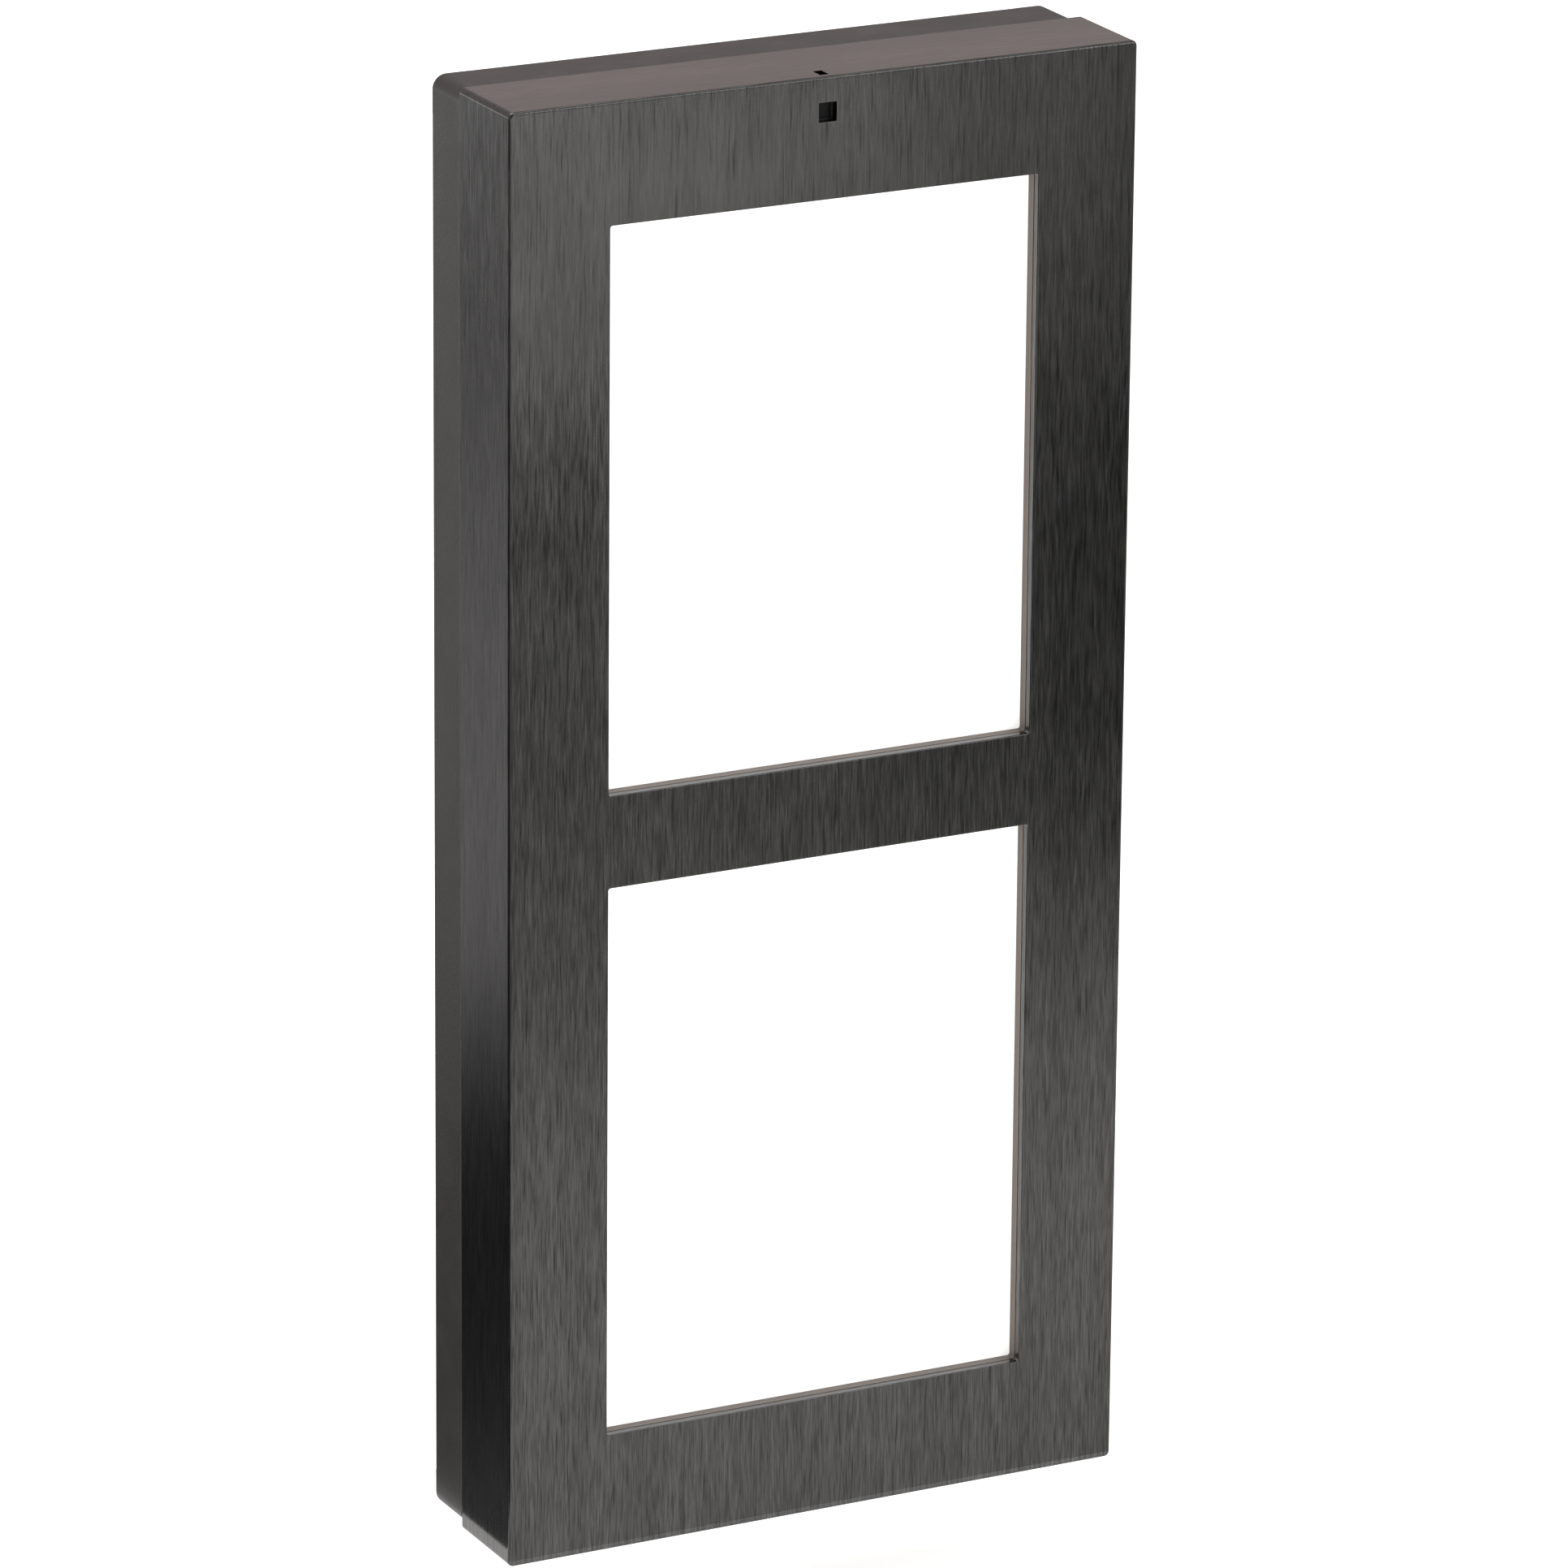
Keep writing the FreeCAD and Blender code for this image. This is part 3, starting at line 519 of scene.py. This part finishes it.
@dataclass(frozen=True)
class CircuitBoard(Finish):
    """Solder mask over copper tracks, with pads."""

    name: str
    mask: Colour
    track: Colour
    pad: Colour = (0.72, 0.70, 0.62)
    pitch: float = 0.0025

    def build(self) -> bpy.types.Material:
        """Make the material."""
        s = Surface(self.name, Coat_Weight=0.4, Coat_Roughness=0.15)
        grid = s.add("ShaderNodeTexBrick", {
            "Vector": s.scaled(s.position, 1 / self.pitch), "Scale": 1.0, "Mortar Size": 0.06,
            "Mortar Smooth": 0.1, "Color1": rgba(BLACK), "Color2": rgba(WHITE),
            "Mortar": rgba(WHITE, 0.5)})
        tracks = s.remap(grid.outputs["Fac"], 0.2, 0.8, 0.0, 1.0)
        cells = s.add("ShaderNodeTexVoronoi", {"Vector": s.position, "Scale": 0.4 / self.pitch,
                                               "Randomness": 0.35})
        pads = s.math("LESS_THAN", cells.outputs["Distance"], 0.13)
        masked = s.blend(tracks, rgba(self.mask), rgba(self.track))
        s.paint(s.blend(pads, masked, rgba(self.pad)))
        s.roughen(s.remap(pads, 0.0, 1.0, 0.45, 0.25))
        s.bump(s.math("ADD", s.math("MULTIPLY", tracks, 0.5), pads), 0.00003, 0.8)
        return s.material


@dataclass(frozen=True)
class ClearGuide(Finish):
    """Smoked acrylic that lets light through to the sensor."""

    name: str

    def build(self) -> bpy.types.Material:
        """Make the material."""
        s = Surface(self.name, Transmission_Weight=0.6, IOR=1.49, Specular_IOR_Level=0.02)
        smudge = s.effect(EFFECTS.smudge, Patch=0.001)
        s.paint(s.blend(smudge.outputs["Value"], rgba((0.0006, 0.0006, 0.0007)),
                        rgba((0.0015, 0.0015, 0.0018))))
        s.roughen(s.spread(smudge.outputs["Value"], 0.35, 0.5))
        return s.material


@dataclass(frozen=True)
class WireJacket(Finish):
    """Smooth insulation with faint extrusion lines."""

    name: str
    tone: Colour

    def build(self) -> bpy.types.Material:
        """Make the material."""
        s = Surface(self.name)
        smudge = s.effect(EFFECTS.smudge, Patch=0.004)
        s.paint(s.blend(smudge.outputs["Value"], rgba(self.tone), rgba(self.tone, 1.5)))
        s.roughen(s.spread(smudge.outputs["Value"], 0.35, 0.5))
        s.bump(s.noise(s.position, 2600.0, 2.0), 0.00002, 0.4)
        return s.material


class Palette(Enum):
    """The finishes of this object."""

    HOOD = BrushedSteel("hood_brushed_steel", (0.083, 0.0824, 0.0818))
    SHELL = Moulded("shell_mould", (0.027, 0.0255, 0.0250), roughness=0.46, gloss=0.42, dust=0.16)
    BEZEL = Moulded("bezel_mould", (0.105, 0.080, 0.064), cell=0.0003, depth=0.00002,
                    roughness=0.42)
    BLACK = Moulded("black_mould", (0.022, 0.022, 0.023), cell=0.0003, depth=0.00002)
    TERMINAL = Moulded("terminal_polyamide", (0.30, 0.32, 0.33), cell=0.0004, depth=0.00002)
    REFLECTOR = Moulded("reflector_mould", (0.84, 0.84, 0.82), cell=0.0004, depth=0.00002)
    FERRITE = Moulded("wound_ferrite", (0.05, 0.05, 0.055), cell=0.0006, depth=0.00008,
                      roughness=0.7)
    OPAL = LitOpal("lit_opal", 0.0385)
    LED = Moulded("led_phosphor", (0.85, 0.70, 0.22), cell=0.0004, depth=0.00002, roughness=0.3)
    RUBBER = Rubber("seal_epdm", (0.018, 0.018, 0.018))
    FOAM = Rubber("closed_cell_foam", (0.07, 0.07, 0.07), cell=0.0007, depth=0.00015)
    BRIGHT = PlainSteel("plain_stainless", (0.60, 0.60, 0.61))
    SPRING = PlainSteel("tempered_steel", (0.36, 0.35, 0.35), 0.34)
    BRASS = PlainSteel("turned_brass", (0.70, 0.50, 0.21), 0.3)
    CAN = PlainSteel("capacitor_can", (0.66, 0.67, 0.70), 0.36)
    WHITE_BOARD = CircuitBoard("led_board_mask", (0.80, 0.81, 0.79), (0.70, 0.71, 0.69))
    GREEN_BOARD = CircuitBoard("driver_board_mask", (0.02, 0.13, 0.05), (0.03, 0.19, 0.08))
    GUIDE = ClearGuide("clear_acrylic")
    RED_WIRE = WireJacket("red_wire_jacket", (0.20, 0.018, 0.014))
    BLACK_WIRE = WireJacket("black_wire_jacket", (0.014, 0.014, 0.015))
    BROWN_WIRE = WireJacket("brown_wire_jacket", (0.085, 0.034, 0.016))
    BLUE_WIRE = WireJacket("blue_wire_jacket", (0.012, 0.045, 0.17))
    WHITE_WIRE = WireJacket("white_wire_jacket", (0.42, 0.42, 0.40))

    def dress(self, *nodes: str) -> None:
        """Give CAD nodes this finish."""
        material = self.value.material()
        for name in nodes:
            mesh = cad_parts[name].data
            mesh.materials.clear()
            mesh.materials.append(material)


# ---------------------------------------------------------------- finer pieces
def stand_in(node: str, mesh: bmesh.types.BMesh, finishes: list[Palette]) -> bpy.types.Object:
    """Turn a mesh into a piece of the base that stands for a CAD node.

    Args:
        node: The node that it replaces.
        mesh: The piece's shape, which is freed.
        finishes: One finish for each of its material slots.

    Returns:
        The piece.
    """
    data = bpy.data.meshes.new(f"{node}_fine")
    mesh.to_mesh(data)
    mesh.free()
    for finish in finishes:
        data.materials.append(finish.value.material())
    piece = bpy.data.objects.new(f"{node}_fine", data)
    bpy.context.scene.collection.objects.link(piece)
    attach(piece, "base")
    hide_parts(node)
    return piece


@dataclass
class Wire:
    """One insulated wire that follows a centreline, straight or wound about it."""

    finish: Palette
    radius: float
    offset: float = 0.0
    phase: float = 0.0
    pitch: float = 0.011
    sides: int = 10

    def add(self, tube: bmesh.types.BMesh, line: list[Vector], slot: int) -> None:
        """Add the wire to a mesh.

        Args:
            tube: The mesh to grow.
            line: The centreline's points, close together.
            slot: The wire's material slot.
        """
        rings: list[list[bmesh.types.BMVert]] = []
        across, run = Vector((1.0, 0.0, 0.0)), 0.0
        for index, point in enumerate(line):
            behind, ahead = line[max(index - 1, 0)], line[min(index + 1, len(line) - 1)]
            forward = (ahead - behind).normalized()
            across = (across - forward * across.dot(forward)).normalized()
            other = forward.cross(across)
            run += (point - behind).length
            angle = self.phase + math.tau * run / self.pitch
            centre = point + self.offset * (math.cos(angle) * across + math.sin(angle) * other)
            ring = []
            for step in range(self.sides):
                turn = math.tau * step / self.sides
                ring.append(tube.verts.new(centre + self.radius * (math.cos(turn) * across
                                                                   + math.sin(turn) * other)))
            rings.append(ring)
        faces = [tube.faces.new((low[k - 1], low[k], high[k], high[k - 1]))
                 for low, high in zip(rings, rings[1:]) for k in range(self.sides)]
        faces += [tube.faces.new(rings[0][::-1]), tube.faces.new(rings[-1])]
        for face in faces:
            face.material_index, face.smooth = slot, len(face.verts) == 4


# ---------------------------------------------------------------- sub-assemblies
class SubAssembly(ABC):
    """A group of pieces that are dressed together."""

    @abstractmethod
    def build(self) -> list[str]:
        """Dress the group and return the names of its pieces."""


@dataclass
class Hood(SubAssembly):
    """The brushed hood and the keeper clip under its top wall."""

    def build(self) -> list[str]:
        """Dress the hood."""
        Palette.HOOD.dress("front_hood")
        Palette.SPRING.dress("keeper_clip")
        return ["front_hood", "keeper_clip"]


@dataclass
class RearShell(SubAssembly):
    """The moulded shell with its seals, hinge pins and cable entry."""

    def build(self) -> list[str]:
        """Dress the shell."""
        Palette.SHELL.dress("rear_shell")
        Palette.RUBBER.dress("hood_seal", "cable_grommet")
        Palette.FOAM.dress("wall_gasket")
        Palette.BRIGHT.dress("hinge_pins")
        return ["rear_shell", "hood_seal", "cable_grommet", "wall_gasket", "hinge_pins"]


@dataclass
class LightModule(SubAssembly):
    """One lit field: bezel, opal panel, gasket, reflector box and its board."""

    place: str

    def build(self) -> list[str]:
        """Dress one module."""
        parts = {
            "bezel": Palette.BEZEL,
            "opal_panel": Palette.OPAL,
            "panel_gasket": Palette.FOAM,
            "light_box": Palette.REFLECTOR,
            "led_board": Palette.WHITE_BOARD,
            "leds": Palette.LED,
        }
        for part, finish in parts.items():
            finish.dress(f"{self.place}_{part}")
        return [f"{self.place}_{part}" for part in parts]


@dataclass
class Latch(SubAssembly):
    """The press latch, its return spring and the light sensor that its bracket holds."""

    spring_turns: int = 5
    spring_wire: float = 0.0002
    turn_steps: int = 40
    press: float = 0.0013

    def _spring(self) -> str:
        """Coil the return spring."""
        low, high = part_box("latch_spring")
        x, y = (low.x + high.x) / 2, (low.y + high.y) / 2
        coil = (high.x - low.x) / 2 - self.spring_wire
        bottom, top = low.z + self.spring_wire, high.z - self.spring_wire
        steps = self.turn_steps * self.spring_turns
        line = []
        for step in range(steps + 1):
            angle = math.tau * self.spring_turns * step / steps
            line.append(Vector((x + coil * math.cos(angle), y + coil * math.sin(angle),
                                bottom + (top - bottom) * step / steps)))
        mesh = bmesh.new()
        Wire(Palette.BRIGHT, self.spring_wire).add(mesh, line, 0)
        piece = stand_in("latch_spring", mesh, [Palette.BRIGHT])
        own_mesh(piece)
        return piece.name

    def build(self) -> list[str]:
        """Dress the latch and the sensor."""
        Palette.SPRING.dress("latch_slider")
        Palette.BRIGHT.dress("latch_screws")
        Palette.BLACK.dress("latch_bracket", "light_sensor")
        Palette.GREEN_BOARD.dress("sensor_board")
        Palette.GUIDE.dress("light_guide")
        return [self._spring(), "latch_slider", "latch_screws", "latch_bracket", "light_sensor",
                "sensor_board", "light_guide"]


@dataclass
class Driver(SubAssembly):
    """The driver board, terminals, clamp and all fixings."""

    def build(self) -> list[str]:
        """Dress the driver."""
        groups = {
            Palette.GREEN_BOARD: ["driver_board"],
            Palette.BRIGHT: ["board_screws", "module_screws", "clamp_screws"],
            Palette.CAN: ["driver_capacitors"],
            Palette.FERRITE: ["driver_inductor"],
            Palette.BLACK: ["driver_chips", "cable_clamp"],
            Palette.TERMINAL: ["board_connectors", "terminal_block"],
            Palette.BRASS: ["terminal_screws", "module_inserts"],
        }
        for finish, nodes in groups.items():
            finish.dress(*nodes)
        return [name for nodes in groups.values() for name in nodes]


@dataclass
class Leads(SubAssembly):
    """The wires between terminals, driver, light modules and sensor, as jacketed strands.

    The supply wires spread apart by splay_ratio between the two heights of splay, counted from
    their lower end. The sensor's lead leaves its board by plug_length and turns within bend.
    """

    supply_radius: float = 0.0007
    pair_radius: float = 0.0005
    sensor_radius: float = 0.00025
    sensor_pitch: float = 0.006
    spacing: float = 0.0005
    splay: tuple[float, float] = (0.008, 0.012)
    splay_ratio: float = 1.6
    plug_length: float = 0.0032
    bend: float = 0.0055
    route_steps: int = 24

    def build(self) -> list[str]:
        """Wind every lead in place of its plain solid."""
        pair = [Wire(Palette.RED_WIRE, self.pair_radius, self.pair_radius),
                Wire(Palette.BLACK_WIRE, self.pair_radius, self.pair_radius, math.pi)]
        fine = [Wire(Palette.WHITE_WIRE, self.sensor_radius, self.sensor_radius, 0.0,
                     self.sensor_pitch),
                Wire(Palette.BLACK_WIRE, self.sensor_radius, self.sensor_radius, math.pi,
                     self.sensor_pitch)]
        names = [self._supply()]
        for node, rise in (("upper_led_lead", 1), ("lower_led_lead", -1)):
            names.append(self._wind(node, self._field_route(node, rise), pair))
        names.append(self._wind("sensor_lead", self._sensor_route(), fine))
        return names

    def _supply(self) -> str:
        """Lay the two single supply wires."""
        low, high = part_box("supply_leads")
        y = (low.y + high.y) / 2
        bend, knee = (low.z + rise for rise in self.splay)
        outer = high.x - self.supply_radius
        inner = outer / self.splay_ratio
        mesh = bmesh.new()
        finishes = [Palette.BROWN_WIRE, Palette.BLUE_WIRE]
        for slot, side in enumerate((-1, 1)):
            route = [(side * inner, y, low.z), (side * inner, y, bend), (side * outer, y, knee),
                     (side * outer, y, high.z)]
            Wire(finishes[slot], self.supply_radius).add(mesh, self._line(route), slot)
        return stand_in("supply_leads", mesh, finishes).name

    def _field_route(self, node: str, rise: int) -> list[Place]:
        """Return the route from the driver to one field's board.

        Args:
            node: The lead's plain solid.
            rise: 1 for a lead that runs up, -1 for one that runs down.

        Returns:
            The route's points.
        """
        low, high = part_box(node)
        width = (high.x - low.x) / 2
        x, y = (low.x + high.x) / 2, high.y - width
        start, end = (low.z, high.z - width) if rise > 0 else (high.z, low.z + width)
        return [(x, y, start), (x, y, end - rise * (y - low.y)), (x, y, end), (x, low.y, end)]

    def _sensor_route(self) -> list[Place]:
        """Return the route from the driver's top over the upper box to the sensor."""
        low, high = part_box("sensor_lead")
        width = (high.x - low.x) / 2
        x, rear, front, top = (low.x + high.x) / 2, high.y - width, low.y, high.z - width
        drop, level = front + self.plug_length, top - self.bend
        return [(x, front, top), (x, drop, top), (x, drop, level), (x, drop + self.bend, level),
                (x, rear, level), (x, rear, level - (rear - drop)), (x, rear, low.z)]

    def _line(self, route: list[Place]) -> list[Vector]:
        """Return close points along the smooth line that a route controls."""
        curve = bpy.data.curves.new("route", "CURVE")
        curve.dimensions = "3D"
        spline = curve.splines.new("NURBS")
        spline.points.add(len(route) - 1)
        for point, place in zip(spline.points, route):
            point.co = (*place, 1.0)
        spline.order_u, spline.use_endpoint_u = 3, True
        spline.resolution_u = self.route_steps
        guide = bpy.data.objects.new("route", curve)
        bpy.context.scene.collection.objects.link(guide)
        bpy.context.view_layer.update()
        mesh = bpy.data.meshes.new_from_object(guide)
        corners = [vertex.co.copy() for vertex in mesh.vertices]
        bpy.data.objects.remove(guide)
        bpy.data.meshes.remove(mesh)
        line = [corners[0]]
        for start, end in zip(corners, corners[1:]):
            steps = max(1, round((end - start).length / self.spacing))
            line += [start.lerp(end, (k + 1) / steps) for k in range(steps)]
        return line

    def _wind(self, node: str, route: list[Place], wires: list[Wire]) -> str:
        """Make one twisted lead.

        Args:
            node: The plain solid that it replaces.
            route: The points that its centreline follows.
            wires: Its strands.

        Returns:
            The piece's name.
        """
        mesh, line = bmesh.new(), self._line(route)
        for slot, wire in enumerate(wires):
            wire.add(mesh, line, slot)
        return stand_in(node, mesh, [wire.finish for wire in wires]).name


# ---------------------------------------------------------------- studio
def stage_card(name: str, centre: Vector, along: Vector, up: Vector,
               material: bpy.types.Material) -> bpy.types.Object:
    """Make one flat card of the stage.

    Args:
        name: The object's name.
        centre: The card's centre.
        along: Half of one side, as a vector.
        up: Half of the other side, as a vector.
        material: The card's material.

    Returns:
        The card.
    """
    mesh = bpy.data.meshes.new(name)
    sheet = bmesh.new()
    corners = [centre - along - up, centre + along - up, centre + along + up, centre - along + up]
    sheet.faces.new([sheet.verts.new(corner) for corner in corners])
    sheet.to_mesh(mesh)
    sheet.free()
    mesh.materials.append(material)
    card = bpy.data.objects.new(name, mesh)
    bpy.context.scene.collection.objects.link(card)
    return card


@dataclass
class GlowCard:
    """A card that only reflections see, with a level that may change along and across it.

    A mirror point at a height z on the object sees the card at z times reach, so the stops are
    given as (z, level), one list for each side of the object. Across the span named outer, the
    level goes over to outer_level, which is the same at every height.
    """

    name: str
    centre: Place
    along: Place
    up: Place
    low: Stops
    high: Stops
    reach: tuple[float, float] = (0.0, 1.0)
    start_y: float = 0.0
    sides: tuple[float, float] = (-0.03, 0.062)
    outer: tuple[float, float] = (9.0, 10.0)
    outer_level: float = 0.6
    tone: Colour = WHITE
    top_z: float = 0.32
    peak: float = 5.0

    def build(self) -> None:
        """Lay the card."""
        surface = Surface(self.name, Specular_IOR_Level=0.0, Emission_Strength=self.peak)
        place = surface.add("ShaderNodeSeparateXYZ", {0: surface.position})
        height = surface.math("DIVIDE", surface.math("SUBTRACT", place.outputs["Y"], self.start_y),
                              self.reach[1])
        across = surface.math("SUBTRACT", place.outputs["X"],
                              surface.math("MULTIPLY", height, self.reach[0]))
        step = surface.math("DIVIDE", height, self.top_z)
        side = surface.remap(across, *self.sides, 0.0, 1.0)
        level = surface.blend(side, self._ramp(surface, step, self.low),
                              self._ramp(surface, step, self.high))
        rest = rgba(self.tone, self.outer_level / self.peak)
        level = surface.blend(surface.remap(across, *self.outer, 0.0, 1.0), level, rest)
        surface.feed(surface.shader.inputs["Emission Color"], level)
        surface.paint(rgba(BLACK))
        card = stage_card(self.name, Vector(self.centre), Vector(self.along), Vector(self.up),
                          surface.material)
        card.visible_camera = card.visible_diffuse = card.visible_shadow = False
        card.visible_transmission = False

    def _ramp(self, surface: Surface, step: Any, stops: Stops) -> bpy.types.NodeSocket:
        """Return the colour along one list of stops."""
        ramp = surface.add("ShaderNodeValToRGB", {0: step})
        elements = ramp.color_ramp.elements
        while len(elements) < len(stops):
            elements.new(0.5)
        for element, (height, level) in zip(elements, stops):
            element.position = height / self.top_z
            element.color = rgba(self.tone, level / self.peak)
        return ramp.outputs["Color"]


@dataclass
class Camera:
    """The camera, by where it looks and from what side."""

    aim: Place = (-0.00645, -0.014, 0.12227)
    azimuth: float = 27.0889
    elevation: float = 18.1757
    roll: float = 0.5028
    distance: float = 1.5453
    lens: float = 229.73
    sensor_width: float = 36.0
    clip_end: float = 50.0

    def build(self) -> None:
        """Place the camera."""
        az, el = math.radians(self.azimuth), math.radians(self.elevation)
        forward = Vector((math.sin(az) * math.cos(el), math.cos(az) * math.cos(el), -math.sin(el)))
        right = forward.cross(Vector((0, 0, 1))).normalized()
        up = right.cross(forward)
        turn = Matrix.Rotation(math.radians(-self.roll), 3, forward)
        right, up = turn @ right, turn @ up
        data = bpy.data.cameras.new("camera")
        data.lens, data.sensor_width, data.clip_end = self.lens, self.sensor_width, self.clip_end
        camera = bpy.data.objects.new("camera", data)
        place = Matrix((right, up, -forward)).transposed().to_4x4()
        place.translation = Vector(self.aim) - forward * self.distance
        camera.matrix_world = place
        bpy.context.scene.collection.objects.link(camera)
        bpy.context.scene.camera = camera


@dataclass
class Studio:
    """A pale floor, soft boxes and the cards that shape reflections."""

    floor_size: float = 12.0
    floor_z: float = -0.018
    floor_glow: float = 0.62
    sky: float = 0.62
    sky_tone: Colour = (1.0, 0.97, 0.95)

    def build(self) -> None:
        """Make the floor, the sky, the lights and the cards."""
        self._floor()
        self._sky()
        self._lights()
        for card in self._cards():
            card.build()
        bpy.context.scene.view_settings.view_transform = "Standard"
        bpy.context.scene.view_settings.look = "None"

    def _floor(self) -> None:
        """Make the floor."""
        surface = Surface("pale_floor", Specular_IOR_Level=0.1, Emission_Strength=self.floor_glow,
                          Emission_Color=rgba(WHITE))
        tone = surface.noise(surface.position, 3.0, 2.0)
        surface.paint(surface.blend(tone, rgba(WHITE, 0.90), rgba(WHITE, 0.92)))
        surface.roughen(0.9)
        half = self.floor_size / 2
        stage_card("floor", Vector((0, 0, self.floor_z)), Vector((half, 0, 0)),
                   Vector((0, half, 0)), surface.material)

    def _sky(self) -> None:
        """Light the world evenly."""
        world = bpy.data.worlds.new("studio")
        world.use_nodes = True
        background = world.node_tree.nodes["Background"]
        background.inputs["Color"].default_value = rgba(self.sky_tone)
        background.inputs["Strength"].default_value = self.sky
        bpy.context.scene.world = world

    def _light(self, name: str, place: Vector, aim: Vector, size: tuple[float, float], power: float,
               tone: Colour = WHITE) -> None:
        """Hang one soft box.

        Args:
            name: The light's name.
            place: Its centre.
            aim: The point it faces.
            size: Its width and height.
            power: Its power in watts.
            tone: Its colour.
        """
        data = bpy.data.lights.new(name, "AREA")
        data.shape, data.energy, data.color = "RECTANGLE", power, tone
        data.size, data.size_y = size
        lamp = bpy.data.objects.new(name, data)
        lamp.location = place
        lamp.rotation_euler = (aim - place).to_track_quat("-Z", "Y").to_euler()
        bpy.context.scene.collection.objects.link(lamp)

    def _lights(self) -> None:
        """Hang the soft boxes."""
        middle = Vector((0, 0, 0.12))
        self._light("top_box", Vector((-0.2, 0.3, 2.6)), middle, (2.4, 2.4), 36.0)
        self._light("front_box", Vector((0.75, -1.0, 0.75)), middle, (1.0, 1.0), 5.0)
        self._light("rim_box", Vector((-0.9, 0.45, 0.12)), middle, (0.25, 0.5), 0.9,
                    (1.0, 0.78, 0.60))

    @staticmethod
    def _cards() -> list[GlowCard]:
        """Return the cards: the table before the front, its dark left, the back and the walls."""
        front_low = [(0.004, 1.15), (0.025, 1.18), (0.060, 1.15), (0.080, 0.86), (0.100, 0.66),
                     (0.117, 0.54), (0.130, 0.56), (0.160, 0.64), (0.190, 0.10), (0.210, 0.0),
                     (0.222, 0.0), (0.238, 0.9), (0.248, 4.6), (0.272, 4.6), (0.290, 0.8)]
        front_high = [(0.004, 1.0), (0.025, 1.20), (0.060, 1.10), (0.080, 0.90), (0.100, 0.34),
                      (0.112, 0.05), (0.130, 0.18), (0.150, 0.26), (0.170, 0.14), (0.190, 0.0),
                      (0.222, 0.0), (0.238, 0.1), (0.250, 1.2), (0.285, 1.2), (0.305, 0.5)]
        side = [(0.0, 0.17), (0.008, 0.138), (0.020, 0.085), (0.040, 0.053), (0.060, 0.072),
                (0.076, 0.21), (0.095, 0.60), (0.115, 0.60), (0.160, 0.58), (0.190, 0.51),
                (0.230, 0.40)]
        dark, dim, wall, back = ([(0.0, level), (0.2, level)] for level in (0.03, 0.42, 0.06, 0.61))
        return [
            GlowCard("table_card", (0.55, -0.80, 0.001), (0.95, 0, 0), (0, 0.787, 0), front_low,
                     front_high, reach=(1.388, -2.712), start_y=-0.014, outer=(0.14, 0.25),
                     tone=(1.0, 0.985, 0.96)),
            GlowCard("side_card", (-0.55, 0.445, 0.0015), (0.495, 0, 0), (0, 0.455, 0), side, side,
                     reach=(0.0, 2.712), start_y=-0.006, tone=(1.0, 0.97, 0.97)),
            GlowCard("corner_card", (-0.77, -0.80, 0.0015), (0.70, 0, 0), (0, 0.787, 0), dark, dim,
                     reach=(-1.3, -1.0), start_y=-0.014, sides=(-0.06, -0.02)),
            GlowCard("front_wall", (0.4, -1.9, 0.6), (2.0, 0, 0), (0, 0, 0.6), wall, wall),
            GlowCard("back_wall", (0.7, 1.5, 0.85), (1.3, 0, 0), (0, 0, 0.75), back, back,
                     tone=(1.0, 0.86, 0.83)),
        ]


def main() -> None:
    """Dress every sub-assembly, then set up the studio."""
    logging.basicConfig(level=logging.INFO, format="%(message)s")
    groups: list[SubAssembly] = [Hood(), RearShell(), LightModule("upper"), LightModule("lower"),
                                 Latch(), Driver(), Leads()]
    for group in groups:
        for piece in group.build():
            LOG.info("%s: %s", type(group).__name__, piece)
    Studio().build()
    Camera().build()


if __name__ == "__main__":
    main()
